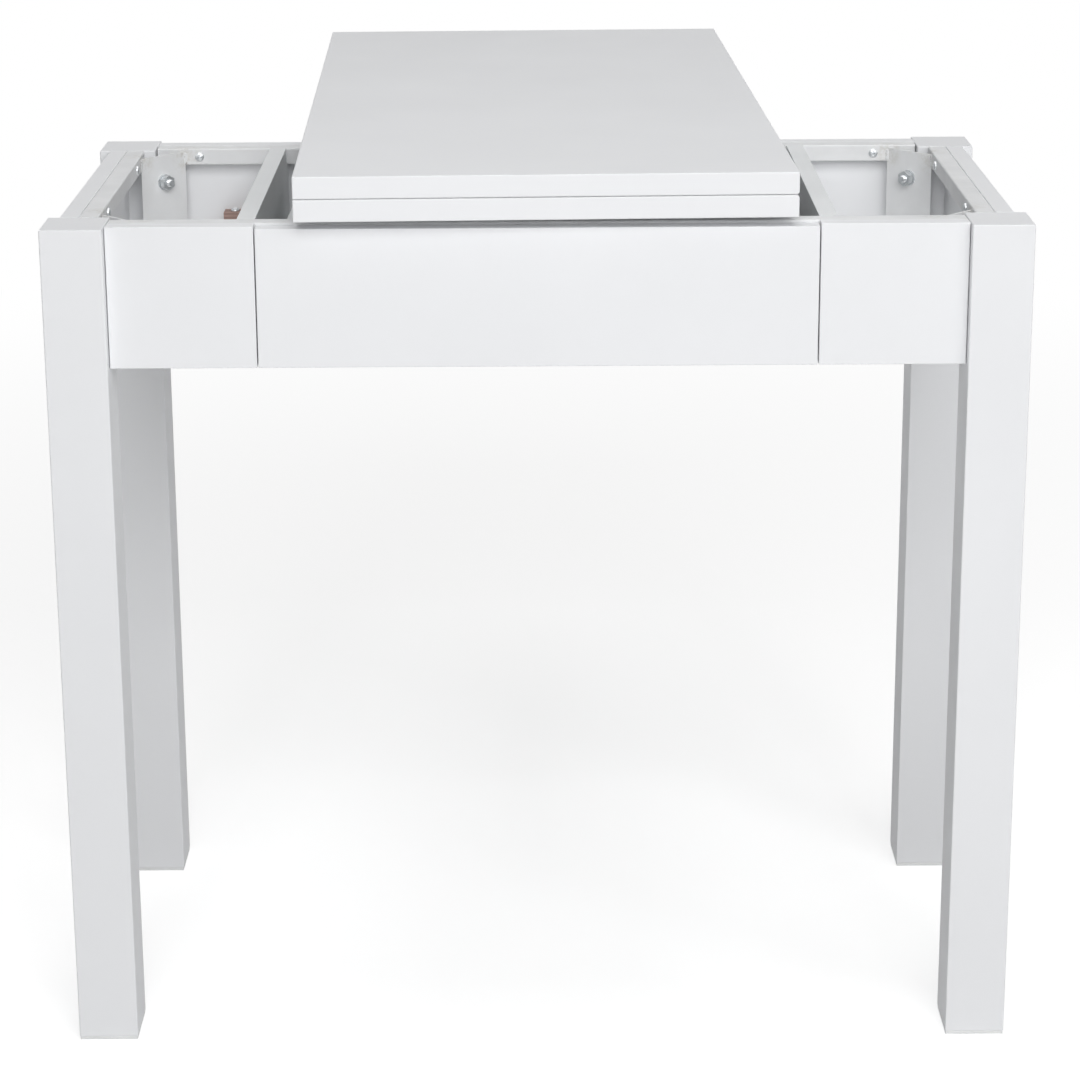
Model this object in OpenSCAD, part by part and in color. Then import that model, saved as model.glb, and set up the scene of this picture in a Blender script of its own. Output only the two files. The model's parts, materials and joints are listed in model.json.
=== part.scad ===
// Folding kitchen table: a slim frame on four legs with a drawer, and over it a top of two hinged leaves.
// The folded top turns on an off-centre pivot, and then its upper leaf unfolds to make a square.
// The table is drawn with the folded top turned across the frame, so that the bays beside the drawer show.
// Origin: on the floor, under the middle of the box round the table as it stands here.
// +X is to the right of a person at the drawer, +Y is to the rear, +Z is up. Millimetres and degrees.

/* [Table top] */
// Length of a leaf, which is the side of the unfolded square
leaf_length = 800; // [740:10:900]
// Width of a leaf, half the side of the unfolded square
leaf_width = 400; // [360:5:450]
// Thickness of a leaf
leaf_t = 18; // [16:1:25]
// Height of the folded top's upper face above the floor
table_h = 750; // [700:5:800]
// Radius along the edges of a leaf
leaf_edge_r = 1; // [0.5:0.1:2]
// Gap between the two folded leaves
leaf_slit = 0.5; // [0.3:0.1:1]
// Gap between the frame and the top, which the pivot fitting and the glides fill
swivel_gap = 7; // [4.5:0.5:9]
// Turn of the top from closed to where it stands here, clockwise seen from above
rest_turn = 88.6; // [60:0.1:90]

/* [Leaf hinges] */
// Distance from the middle hinge to each outer one
hinge_spacing = 300; // [150:10:330]
// Distance of a hinge pin from the face and from the edge of its leaf
hinge_pin_in = 3; // [2.5:0.1:4]
// Diameter of a hinge pin
hinge_pin_d = 2.5; // [2:0.1:3]
// Width of a hinge link along its pins
hinge_link_w = 4; // [3:0.5:8]
// Width of each lug beside a link
hinge_lug_w = 4; // [3:0.5:6]
// Length of a hinge plate along the leaf's edge
hinge_plate_l = 44; // [38:1:70]
// Reach of a hinge plate in from the leaf's edge
hinge_plate_d = 24; // [20:1:35]
// Thickness of a hinge plate
hinge_plate_t = 2; // [1.5:0.1:2.5]

/* [Pivot] */
// Width of the steel channel that carries the pivot
beam_w = 60; // [56:1:90]
// Sheet thickness of that channel
beam_sheet = 2; // [1.5:0.1:3]
// Diameter of the pivot stud
stud_d = 12; // [10:0.5:14]
// Outer diameter of the bush round the stud
bush_d = 20; // [18:0.5:22]
// Side of the square pivot plate under the lower leaf
pivot_plate_w = 80; // [70:1:120]
// Thickness of the pivot plate
pivot_plate_t = 3; // [2:0.5:3.5]
// Distance from the plate's middle to each row of its screws
pivot_screw_in = 30; // [27:0.5:31]
// Outer diameter of the plastic thrust washer
thrust_washer_d = 32; // [26:1:34]
// Distance of the stop pin from the pivot
stop_radius = 21; // [20.5:0.1:22]
// Diameter of the stop pin
stop_d = 6; // [4:0.5:6]
// Width across the flats of the pivot nut
pivot_nut_af = 18; // [16:0.5:19]
// Height of the pivot nut
pivot_nut_h = 8; // [6:0.5:9]
// Outer diameter of the steel washer over the nut
lock_washer_d = 24; // [22:0.5:30]
// Thickness of the steel washer over the nut
lock_washer_t = 2; // [1:0.1:2.5]
// Diameter of a glide under the top
glide_d = 22; // [14:1:26]

/* [Legs] */
// Length of the frame over its legs
frame_length = 790; // [740:5:900]
// Depth of the frame over its legs
frame_depth = 395; // [370:5:450]
// Side of a square leg
leg_size = 50; // [47:1:60]
// Radius along the edges of a leg
leg_edge_r = 1; // [0.5:0.1:2]
// Thickness of the plastic plate under a leg
foot_t = 3; // [2:0.5:6]
// How far a foot plate stays in from the leg's faces
foot_inset = 0.5; // [0:0.1:4]
// Diameter of the spigot that holds a foot plate in its leg
foot_spigot_d = 8; // [5:0.5:12]
// Length of that spigot
foot_spigot_l = 20; // [10:1:30]

/* [Boards] */
// Height of the aprons, front panels and partitions
apron_h = 116; // [110:1:130]
// Thickness of the aprons, front panels and partitions
board_t = 15; // [14:0.5:18]
// Radius along the edges of a board
board_edge_r = 0.5; // [0.3:0.1:1]
// Depth of the boards' outer faces behind the legs' outer faces
recess = 9.5; // [6:0.5:12]
// Width of the drawer front
drawer_front_w = 450; // [400:5:480]
// Gap between the drawer front and each front panel
front_gap = 1; // [0.5:0.5:4]
// Gap between a front panel and the leg beside it
leg_gap = 0.6; // [0.5:0.1:2]
// How far a front panel laps past its partition, towards the drawer
panel_lap = 1; // [0:0.5:1.5]
// Width of the wooden fixing block between the left partition and the rear apron
block_w = 44; // [25:1:60]
// Depth of the fixing block
block_d = 16; // [12:1:20]
// Height of the fixing block
block_h = 40; // [25:1:45]
// Depth of the fixing block's upper face below the frame's top
block_drop = 59; // [30:1:65]

/* [Steel rails] */
// Width of a rail
rail_w = 16; // [15:0.5:20]
// Height of a rail
rail_h = 15; // [14:0.5:20]
// Wall of a rail
rail_wall = 1.2; // [1:0.1:2]
// Gap between a rail's end and the leg beside it
rail_end_gap = 1; // [0.5:0.1:2]
// Reach of a corner plate along each rail
corner_reach = 35.5; // [30:0.5:42]
// Height of a corner plate
corner_h = 96; // [90:1:100]
// Thickness of a corner plate
corner_t = 2.5; // [2:0.1:4]
// Depth of a corner plate's upper edge below the frame's top
corner_drop = 3; // [1:0.5:6]

/* [Fasteners] */
// Diameter of the hanger bolts that hold the legs
bolt_d = 7; // [6:0.5:9]
// Length of a hanger bolt inside its leg
bolt_in_leg = 30; // [20:1:36]
// Distance of a bolt from the corner plate's upper or lower edge
bolt_edge = 24; // [14:1:30]
// Length of a bolt beyond its nut
bolt_end = 4; // [1:0.5:8]
// Diameter of the washer under a bolt's nut
bolt_washer_d = 14; // [13.5:0.5:20]
// Thickness of that washer
bolt_washer_t = 1.6; // [1:0.1:2]
// Width across the flats of a bolt's nut
bolt_nut_af = 12; // [11:0.5:13]
// Height of a bolt's nut
bolt_nut_h = 6; // [5:0.5:8]
// Shank diameter of the wood screws
screw_d = 4; // [3:0.1:4.5]
// Head diameter of the pan-head screws
pan_head_d = 8; // [7:0.1:9]
// Head height of the pan-head screws
pan_head_h = 2.6; // [2:0.1:3]
// Length of a screw inside the board that it holds
screw_bite = 12; // [8:1:13]
// Distance from the frame's end to the outer screws of the front and rear rails
rail_screw_x = 89; // [87:1:110]
// Distance from the frame's front and rear to the screws of the side rails
rail_screw_y = 105; // [95:1:140]

/* [Drawer] */
// Length of the drawer box behind its front
drawer_l = 310; // [304:1:320]
// Height of the drawer's sides
drawer_side_h = 78; // [60:1:80]
// Thickness of the drawer's sides and back
drawer_side_t = 12; // [11:0.5:15]
// Height of the drawer's sides above the lower edge of its front
drawer_lift = 5.5; // [4:0.5:7]
// Thickness of the drawer's bottom panel
drawer_bottom_t = 4; // [3:0.5:6]
// Height of the bottom panel above the sides' lower edge
drawer_bottom_up = 10; // [8:1:16]
// Depth of the grooves that hold the bottom panel
groove_d = 5; // [3:0.5:6]
// Depth of the drawer front's upper edge below the frame's top
drawer_front_drop = 2.2; // [0.5:0.1:4]
// Distance from the drawer sides' upper edge to the upper screws of the back
back_screw_top = 14; // [10:1:20]
// Distance from the drawer sides' lower edge to the lower screws of the back
back_screw_low = 27; // [24:1:34]

/* [Drawer runners] */
// Width of a runner between its partition and the drawer's side
runner_w = 12.5; // [12:0.1:14]
// Length of a runner
runner_l = 300; // [270:1:302]
// Sheet thickness of a runner
runner_sheet = 1.2; // [1:0.1:1.4]
// Radius of a runner's roller
roller_r = 9; // [7:0.5:10]
// Width of a roller
roller_w = 7; // [5:0.1:7.2]
// Diameter of a roller's axle
axle_d = 4; // [3:0.1:5]
// Distance from a runner's ends to its screws
runner_screw_in = 60; // [40:5:90]
// Distance of a roller's middle from its runner's end
roller_in = 12; // [11:0.5:16]
// Width of the runner's lip under the drawer's side
runner_lip = 10; // [9:0.5:11]

/* [Hidden] */
// Facets of a full circle
$fn = 48;
// Running clearance of a pin or shaft, each side
run_clear = 0.05;
// Clearance of a fixed pin, screw or bush in its hole, each side
hole_clear = 0.05;
// Clearance round a fitting that is let into a leaf, and beside a hinge link
let_in = 0.15;
// Clearance between a pair of faces that slide or roll on each other
slide_clear = 0.1;
// Clearance between a glide and the frame, and between the drawer front and the rail behind it
rest_clear = 0.3;
// Extra length of a cutting shape, so that it comes out of the face it cuts
cut = 1;
// Chamfer of a glide, and the ends of the stud and of the stop pin past what they hold
pin_end = 1;
// Radius along the edges of a foot plate
foot_edge_r = 0.5;
// Corner radius of the pivot plate
pivot_plate_r = 6;
// Clearance of the stop pin in its slot, each side
slot_clear = 0.2;
// Clearance, over all, of a hanger bolt in its corner plate and in its washer
bolt_plate_clear = 1;
bolt_washer_clear = 0.4;
// Outer corner radius of a rail, and the smaller one inside it
rail_r = 1.25 * rail_wall;
rail_inner_r = 0.25 * rail_wall;

// Shapes of the screws: shank, head and head height of a countersunk one, and the dome of a pan head
flat_shank_d = 0.75 * screw_d;
flat_head_d = 1.75 * screw_d;
flat_head_h = 0.5 * screw_d;
pan_dome_r = 0.75 * pan_head_d;
// Height of the low heads beside the rollers, and how much narrower they are at the top
low_head_h = 1.4;
low_head_taper = 2;

// Heights
frame_top = table_h - 2 * leaf_t - leaf_slit - swivel_gap;
apron_low = frame_top - apron_h;
rail_low = frame_top - rail_h;
lower_face = frame_top + swivel_gap;
lower_leaf_top = lower_face + leaf_t;
fold_plane = lower_leaf_top + leaf_slit / 2;

// Half sizes of the frame, out to the legs and in to the boards and rails
x_out = frame_length / 2;
y_out = frame_depth / 2;
x_board = x_out - recess;
y_board = y_out - recess;
x_rail = x_board - board_t;
y_rail = y_board - board_t;
x_in = x_rail - rail_w;
y_in = y_rail - rail_w;
x_leg = x_out - leg_size;
y_leg = y_out - leg_size;

// The pivot lies where a quarter turn brings the hinge edge over the frame's middle
pivot_x = leaf_width / 4;
pivot_y = leaf_width / 4;

// Middle of the box round the standing table, from the frame's middle
top_mid_y = pivot_y + pivot_x * sin(rest_turn) - pivot_y * cos(rest_turn);
top_half_y = (leaf_length / 2 - leaf_edge_r) * abs(sin(rest_turn))
    + (leaf_width / 2 - leaf_edge_r) * abs(cos(rest_turn)) + leaf_edge_r;
box_mid_y = (min(-y_out, top_mid_y - top_half_y) + max(y_out, top_mid_y + top_half_y)) / 2;

// Corner plates and bolts
corner_top = frame_top - corner_drop;
bolt_z = [corner_top - bolt_edge, corner_top - corner_h + bolt_edge];
corner_mid = [x_in - corner_reach / 2, y_in - corner_reach / 2];
leg_corner_gap = (x_leg - corner_mid.x) * sqrt(2);

// Hinges: middle of each along the leaf, and the two pin lines
hinge_xs = [-hinge_spacing, 0, hinge_spacing];
hinge_y = leaf_width / 2 - hinge_pin_in;
pin_drop = hinge_pin_in + leaf_slit / 2;
link_in = 0.4;
link_r = hinge_pin_in - link_in;
hinge_screw_end = 7;
hinge_screw_back = 6;
hinge_screw_x = hinge_plate_l / 2 - hinge_screw_end;
hinge_screw_y = leaf_width / 2 - hinge_plate_d + hinge_screw_back;
hinge_half = hinge_link_w / 2 + let_in + hinge_lug_w;

// Pivot stack, from the plate down
pivot_plate_z = lower_face - pivot_plate_t;
lock_washer_z = rail_low - slide_clear - lock_washer_t;
pivot_nut_z = lock_washer_z - pivot_nut_h;
stud_low = pivot_nut_z - pin_end;
stop_slot_r = stop_d / 2 + slot_clear;
glide_xy = y_in + rail_w / 2;
glide_h = swivel_gap - rest_clear;

// Front, partitions and drawer
front_half = drawer_front_w / 2;
panel_x = front_half + front_gap;
bay_half = panel_x + panel_lap;
partition_x = bay_half + board_t;
drawer_y = -y_rail - rest_clear;
drawer_half = bay_half - runner_w;
drawer_low = apron_low + drawer_lift;
drawer_inner_half = drawer_half - drawer_side_t;
drawer_end = drawer_y + drawer_l;
drawer_floor = drawer_low + drawer_bottom_up;
lip_screw_cover = 2;
lip_screw_bite = drawer_bottom_up - lip_screw_cover;

// Runners: gaps between the moving profile and the fixed one, then heights of the tracks and roller middles
runner_set_back = 2;
track_play = 0.5;
cover_gap = 0.6;
flange_gap = 0.7;
runner_y = drawer_y + runner_set_back;
track_z = drawer_low + runner_sheet;
rear_roller_z = track_z + slide_clear + roller_r;
flange_z = rear_roller_z + roller_r + track_play;
front_roller_z = flange_z - slide_clear - roller_r;
cover_z = flange_z + runner_sheet + cover_gap;
runner_top = cover_z + runner_sheet;
roller_side_gap = 0.3;
axle_head_t = 0.8;
axle_head_d = axle_d + 3;
front_roller_y = runner_y + roller_in;
rear_roller_y = runner_y + runner_l - roller_in;
runner_screw_ys = [runner_y + runner_screw_in, runner_y + runner_l - runner_screw_in];

// Colours, as the photograph shows them
lacquer = "#E6E7E9";
board_white = "#EBECEE";
powder_white = "#DCDEE0";
inner_grey = "#C9CACB";
raw_wood = "#8A6E66";
zinc = "#B9BCBE";
steel = "#A8ABAD";
nylon = "#F0F0EC";

// Places and shapes that the sub-parts share

// From the frame's middle to the table's own origin
module standing() {
    translate([0, -box_mid_y, 0]) children();
}

// From the closed top, square over the frame, to the top as it stands
module on_top() {
    standing() translate([pivot_x, pivot_y, 0]) rotate(-rest_turn) translate([-pivot_x, -pivot_y, 0])
        children();
}

// The same in the four corners, drawn for the right rear one
module four_corners() {
    for (sx = [0, 1], sy = [0, 1])
        mirror([sx, 0, 0]) mirror([0, sy, 0]) children();
}

// The same on both sides, drawn for the right one
module both_sides() {
    for (sx = [0, 1]) mirror([sx, 0, 0]) children();
}

// Mirrors a fitting of the lower leaf into the upper one
module in_upper_leaf() {
    translate([0, 0, fold_plane]) mirror([0, 0, 1]) translate([0, 0, -fold_plane]) children();
}

// Rectangle from [0, 0] with a round of its own at each corner, from the lower left counterclockwise
module soft_rect(size, r) {
    polygon([
        [r[0], 0], [size.x - r[1], 0], [size.x, r[1]], [size.x, size.y - r[2]],
        [size.x - r[2], size.y], [r[3], size.y], [0, size.y - r[3]], [0, r[0]]
    ]);
    translate([r[0], r[0]]) circle(r[0]);
    translate([size.x - r[1], r[1]]) circle(r[1]);
    translate([size.x - r[2], size.y - r[2]]) circle(r[2]);
    translate([r[3], size.y - r[3]]) circle(r[3]);
}

// Board between two opposite corners, with all its edges rounded alike
module board(low, high, r) {
    size = high - low;
    all = [r, r, r, r];
    translate(low) intersection() {
        linear_extrude(size.z) soft_rect([size.x, size.y], all);
        translate([0, size.y, 0]) rotate([90, 0, 0]) linear_extrude(size.y)
            soft_rect([size.x, size.z], all);
        rotate([90, 0, 90]) linear_extrude(size.x) soft_rect([size.y, size.z], all);
    }
}

// Plain box between two opposite corners
module box(low, high) {
    translate(low) cube(high - low);
}

// Cylinder along +Z from the origin, or along the axis that the caller turns it to
module rod(d, l) {
    cylinder(d = d, h = l);
}

// Pan-head wood screw: the head sits on the plane z = 0 and the shank runs down
module pan_screw(grip, bite = screw_bite) {
    intersection() {
        rod(pan_head_d, pan_head_h);
        translate([0, 0, pan_head_h - pan_dome_r]) sphere(pan_dome_r);
    }
    translate([0, 0, -grip - bite]) rod(screw_d, grip + bite + pan_head_h / 2);
}

// Bore for the shank of a pan-head screw, down from the plane z = 0
module pan_bore(grip, bite = screw_bite) {
    translate([0, 0, -grip - bite - hole_clear]) rod(screw_d + 2 * hole_clear, grip + bite + cut);
}

// Countersunk wood screw: its head is level with the plane z = 0 and its shank runs down
module flat_screw(bite) {
    translate([0, 0, -flat_head_h]) cylinder(d1 = flat_shank_d, d2 = flat_head_d, h = flat_head_h);
    translate([0, 0, -bite]) rod(flat_shank_d, bite);
}

// Bore and countersink for it
module flat_bore(bite) {
    clear = 2 * hole_clear;
    translate([0, 0, -flat_head_h])
        cylinder(d1 = flat_shank_d + clear, d2 = flat_head_d + clear, h = flat_head_h + 0.001);
    translate([0, 0, -bite - hole_clear]) rod(flat_shank_d + clear, bite + hole_clear + cut);
}

// Legs and their feet

// Along a hanger bolt of the right rear leg: origin on the corner plate's inner face, +Z out of the frame
module along_bolt() {
    for (z = bolt_z)
        translate([corner_mid.x, corner_mid.y, z]) rotate([0, 90, 45]) children();
}

module leg() {
    difference() {
        board([x_leg, y_leg, foot_t], [x_out, y_out, frame_top], leg_edge_r);
        along_bolt() rod(bolt_d + 2 * hole_clear, leg_corner_gap + bolt_in_leg + hole_clear);
        translate([x_out - leg_size / 2, y_out - leg_size / 2, 0])
            rod(foot_spigot_d + 2 * hole_clear, foot_t + foot_spigot_l + hole_clear);
    }
}

module leg_rear_right() color(lacquer) standing() leg();
module leg_rear_left() color(lacquer) standing() mirror([1, 0, 0]) leg();
module leg_front_right() color(lacquer) standing() mirror([0, 1, 0]) leg();
module leg_front_left() color(lacquer) standing() mirror([1, 0, 0]) mirror([0, 1, 0]) leg();

module foot_plates() color(nylon) standing() four_corners() {
    board([x_leg + foot_inset, y_leg + foot_inset, 0], [x_out - foot_inset, y_out - foot_inset, foot_t],
        foot_edge_r);
    translate([x_out - leg_size / 2, y_out - leg_size / 2, foot_t / 2])
        rod(foot_spigot_d, foot_t / 2 + foot_spigot_l);
}

// Boards of the frame

// Along the screws of the rear rail: origin on its inner face, -Z into the apron
module at_rear_rail_screws() {
    for (x = [-x_out + rail_screw_x, 0, x_out - rail_screw_x])
        translate([x, y_in, frame_top - rail_h / 2]) rotate([90, 0, 0]) children();
}

// Along the screws of the front rail, which hold the front panels
module at_front_rail_screws() {
    for (x = [-x_out + rail_screw_x, x_out - rail_screw_x])
        translate([x, -y_in, frame_top - rail_h / 2]) rotate([-90, 0, 0]) children();
}

// Along the screws of the right rail
module at_side_rail_screws() {
    for (y = [-y_out + rail_screw_y, y_out - rail_screw_y])
        translate([x_in, y, frame_top - rail_h / 2]) rotate([0, -90, 0]) children();
}

// Along the screws of the fixing block: origin on its front face, -Z into the rear apron
module at_block_screws() {
    block_top = frame_top - block_drop;
    for (z = [block_top - 1.5 * screw_d, block_top - block_h + 2 * screw_d])
        translate([-partition_x - block_w / 2, y_rail - block_d, z]) rotate([90, 0, 0]) children();
}

module apron_rear() color(board_white) standing() difference() {
    board([-x_leg, y_rail, apron_low], [x_leg, y_board, frame_top], board_edge_r);
    at_rear_rail_screws() pan_bore(rail_w);
    at_block_screws() pan_bore(block_d);
}

module side_apron() {
    difference() {
        board([x_rail, -y_leg, apron_low], [x_board, y_leg, frame_top], board_edge_r);
        at_side_rail_screws() pan_bore(rail_w);
    }
}

module apron_right() color(board_white) standing() side_apron();
module apron_left() color(board_white) standing() mirror([1, 0, 0]) side_apron();

module front_panel() {
    difference() {
        board([panel_x, -y_board, apron_low], [x_leg - leg_gap, -y_rail, frame_top], board_edge_r);
        at_front_rail_screws() pan_bore(rail_w);
    }
}

module front_panel_right() color(board_white) standing() front_panel();
module front_panel_left() color(board_white) standing() mirror([1, 0, 0]) front_panel();

// Right partition, notched round the front and rear rails
module partition() {
    difference() {
        board([bay_half, -y_rail, apron_low], [partition_x, y_rail, frame_top], board_edge_r);
        for (side = [0, 1]) mirror([0, side, 0])
            box([bay_half - cut, y_in, rail_low], [partition_x + cut, y_rail + cut, frame_top + cut]);
        at_runner_screws() pan_bore(runner_sheet);
    }
}

module partition_right() color(inner_grey) standing() partition();
module partition_left() color(inner_grey) standing() mirror([1, 0, 0]) partition();

module fixing_block() color(raw_wood) standing() difference() {
    board([-partition_x - block_w, y_rail - block_d, frame_top - block_drop - block_h],
        [-partition_x, y_rail, frame_top - block_drop], board_edge_r);
    at_block_screws() pan_bore(block_d);
}

module block_screws() color(zinc) standing() at_block_screws() pan_screw(block_d);

// Steel rails and corner plates

// Rail of the given length, centred, from the corner [0, 0] of its section
module rail(l) {
    all = [1, 1, 1, 1];
    translate([0, 0, -l / 2]) linear_extrude(l) difference() {
        soft_rect([rail_w, rail_h], rail_r * all);
        translate([rail_wall, rail_wall])
            soft_rect([rail_w - 2 * rail_wall, rail_h - 2 * rail_wall], rail_inner_r * all);
    }
}

module rear_rail() {
    difference() {
        translate([0, y_rail, rail_low]) rotate([90, 0, -90]) rail(2 * (x_leg - rail_end_gap));
        at_rear_rail_screws() pan_bore(rail_w);
    }
}

module rail_rear() color(powder_white) standing() rear_rail();

module rail_front() color(powder_white) standing() difference() {
    translate([0, -y_rail, rail_low]) rotate([90, 0, 90]) rail(2 * (x_leg - rail_end_gap));
    at_front_rail_screws() pan_bore(rail_w);
}

module side_rail() {
    difference() {
        translate([x_in, 0, rail_low]) rotate([90, 0, 0]) rail(2 * (y_leg - rail_end_gap));
        at_side_rail_screws() pan_bore(rail_w);
    }
}

module rail_right() color(powder_white) standing() side_rail();
module rail_left() color(powder_white) standing() mirror([1, 0, 0]) side_rail();

// Plate across the right rear corner, its ends flat on the two rails
module corner_plate() {
    slant = corner_t * sqrt(2);
    difference() {
        translate([0, 0, corner_top - corner_h]) linear_extrude(corner_h) polygon([
            [x_in, y_in - corner_reach], [x_in, y_in - corner_reach + slant],
            [x_in - corner_reach + slant, y_in], [x_in - corner_reach, y_in]
        ]);
        along_bolt() translate([0, 0, -cut]) rod(bolt_d + bolt_plate_clear, corner_t + 2 * cut);
    }
}

module corner_plate_rear_right() color(powder_white) standing() corner_plate();
module corner_plate_rear_left() color(powder_white) standing() mirror([1, 0, 0]) corner_plate();
module corner_plate_front_right() color(powder_white) standing() mirror([0, 1, 0]) corner_plate();
module corner_plate_front_left() color(powder_white) standing() mirror([1, 0, 0]) mirror([0, 1, 0])
    corner_plate();

module hanger_bolts() color(zinc) standing() four_corners() along_bolt() {
    reach = bolt_washer_t + bolt_nut_h + bolt_end;
    translate([0, 0, -reach]) rod(bolt_d, reach + leg_corner_gap + bolt_in_leg);
}

module bolt_washers() color(zinc) standing() four_corners() along_bolt()
    translate([0, 0, -bolt_washer_t]) difference() {
        rod(bolt_washer_d, bolt_washer_t);
        translate([0, 0, -cut]) rod(bolt_d + bolt_washer_clear, bolt_washer_t + 2 * cut);
    }

module bolt_nuts() color(zinc) standing() four_corners() along_bolt()
    translate([0, 0, -bolt_washer_t - bolt_nut_h]) hex_nut(bolt_nut_af, bolt_nut_h, bolt_d);

// Hexagon nut from z = 0 up, with the corners of its outer face turned off
module hex_nut(af, h, hole) {
    corner_d = af / cos(30);
    turned = (corner_d - 0.95 * af) / 2;
    difference() {
        intersection() {
            cylinder(d = corner_d, h = h, $fn = 6);
            union() {
                rod(corner_d, h - turned);
                translate([0, 0, h - turned])
                    cylinder(d1 = corner_d, d2 = corner_d - 2 * turned, h = turned);
            }
        }
        translate([0, 0, -cut]) rod(hole + 2 * hole_clear, h + 2 * cut);
    }
}

module rail_screws() color(zinc) standing() {
    at_rear_rail_screws() pan_screw(rail_w);
    at_front_rail_screws() pan_screw(rail_w);
    both_sides() at_side_rail_screws() pan_screw(rail_w);
}

// Pivot: what stays with the frame

// Half ring that the stop pin runs in, from a quarter turn one way to a quarter turn the other
module stop_slot() {
    intersection() {
        difference() {
            circle(stop_radius + stop_slot_r);
            circle(stop_radius - stop_slot_r);
        }
        translate([0, -2 * stop_radius]) square([2 * stop_radius, 4 * stop_radius]);
    }
    for (side = [-1, 1]) translate([0, side * stop_radius]) circle(stop_slot_r);
}

module pivot_beam() color(powder_white) standing() difference() {
    box([pivot_x - beam_w / 2, -y_in, rail_low], [pivot_x + beam_w / 2, y_in, frame_top]);
    box([pivot_x - beam_w / 2 + beam_sheet, -y_in - cut, rail_low - cut],
        [pivot_x + beam_w / 2 - beam_sheet, y_in + cut, frame_top - beam_sheet]);
    translate([pivot_x, pivot_y, frame_top - beam_sheet - cut]) {
        rod(bush_d + 2 * hole_clear, beam_sheet + 2 * cut);
        linear_extrude(beam_sheet + 2 * cut) stop_slot();
    }
}

module pivot_bush() color(steel) standing() translate([pivot_x, pivot_y, rail_low]) difference() {
    rod(bush_d, rail_h);
    translate([0, 0, -cut]) rod(stud_d + 2 * run_clear, rail_h + 2 * cut);
}

module thrust_washer() color(nylon) standing() translate([pivot_x, pivot_y, frame_top]) difference() {
    rod(thrust_washer_d, swivel_gap - pivot_plate_t - slide_clear);
    translate([0, 0, -cut]) rod(stud_d + 4 * run_clear, swivel_gap + 2 * cut);
}

// Pivot: what turns with the top

module at_pivot_screws() {
    for (sx = [-1, 1], sy = [-1, 1])
        translate([pivot_x + sx * pivot_screw_in, pivot_y + sy * pivot_screw_in, pivot_plate_z])
            rotate([180, 0, 0]) children();
}

module pivot_plate() color(zinc) on_top() difference() {
    translate([pivot_x - pivot_plate_w / 2, pivot_y - pivot_plate_w / 2, pivot_plate_z])
        linear_extrude(pivot_plate_t)
            soft_rect([pivot_plate_w, pivot_plate_w], pivot_plate_r * [1, 1, 1, 1]);
    translate([pivot_x, pivot_y, pivot_plate_z - cut]) {
        rod(stud_d + 2 * hole_clear, pivot_plate_t + 2 * cut);
        translate([stop_radius, 0, 0]) rod(stop_d + 2 * hole_clear, pivot_plate_t + 2 * cut);
    }
    at_pivot_screws() flat_bore(pivot_plate_t + screw_bite);
}

module pivot_stud() color(steel) on_top() translate([pivot_x, pivot_y, stud_low])
    rod(stud_d, lower_face - stud_low);

module stop_pin() color(steel) on_top()
    translate([pivot_x + stop_radius, pivot_y, frame_top - beam_sheet - pin_end])
        rod(stop_d, lower_face - frame_top + beam_sheet + pin_end);

module lock_washer() color(zinc) on_top() translate([pivot_x, pivot_y, lock_washer_z]) difference() {
    rod(lock_washer_d, lock_washer_t);
    translate([0, 0, -cut]) rod(stud_d + 2 * hole_clear, lock_washer_t + 2 * cut);
}

module pivot_nut() color(zinc) on_top() translate([pivot_x, pivot_y, pivot_nut_z])
    hex_nut(pivot_nut_af, pivot_nut_h, stud_d);

// Nail-on glides that slide on the rails and legs
module at_glides() {
    for (sx = [-1, 1], sy = [-1, 1])
        translate([sx * glide_xy, sy * glide_xy, lower_face]) rotate([180, 0, 0]) children();
}

module top_glides() color(nylon) on_top() at_glides() {
    rod(glide_d, glide_h - pin_end);
    translate([0, 0, glide_h - pin_end]) cylinder(d1 = glide_d, d2 = glide_d - 2 * pin_end, h = pin_end);
    translate([0, 0, -screw_bite]) rod(flat_shank_d, screw_bite + glide_h / 2);
}

// Leaves and their hinges, drawn closed and square over the frame

// Leaf from its lower face up; the hinge edge is at +Y, and its fold edge is rounded round the pin line
module leaf_blank(low, rounds) {
    half_l = leaf_length / 2;
    half_w = leaf_width / 2;
    r = leaf_edge_r;
    intersection() {
        translate([-half_l, -half_w, low]) linear_extrude(leaf_t)
            soft_rect([leaf_length, leaf_width], [r, r, r, r]);
        translate([-half_l, -half_w, low]) rotate([90, 0, 90]) linear_extrude(leaf_length)
            soft_rect([leaf_width, leaf_t], rounds);
        translate([-half_l, half_w, low]) rotate([90, 0, 0]) linear_extrude(leaf_width)
            soft_rect([leaf_length, leaf_t], [r, r, r, r]);
    }
}

// Recesses in the lower leaf for its hinge plates and lugs
module hinge_recesses() {
    edge = leaf_width / 2;
    for (x = hinge_xs) translate([x, 0, 0]) {
        box([-hinge_plate_l / 2 - let_in, edge - hinge_plate_d - let_in, lower_leaf_top - hinge_plate_t],
            [hinge_plate_l / 2 + let_in, edge - 2 * hinge_pin_in + let_in, lower_leaf_top + cut]);
        box([-hinge_half - let_in, edge - 3 * hinge_pin_in - let_in, lower_leaf_top - 2 * hinge_pin_in - let_in],
            [hinge_half + let_in, edge + cut, lower_leaf_top + cut]);
    }
}

// Places of the countersunk screws of the lower leaf's hinge plates
module at_hinge_screws() {
    for (x = hinge_xs, side = [-1, 1])
        translate([x + side * hinge_screw_x, hinge_screw_y, lower_leaf_top]) children();
}

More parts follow.
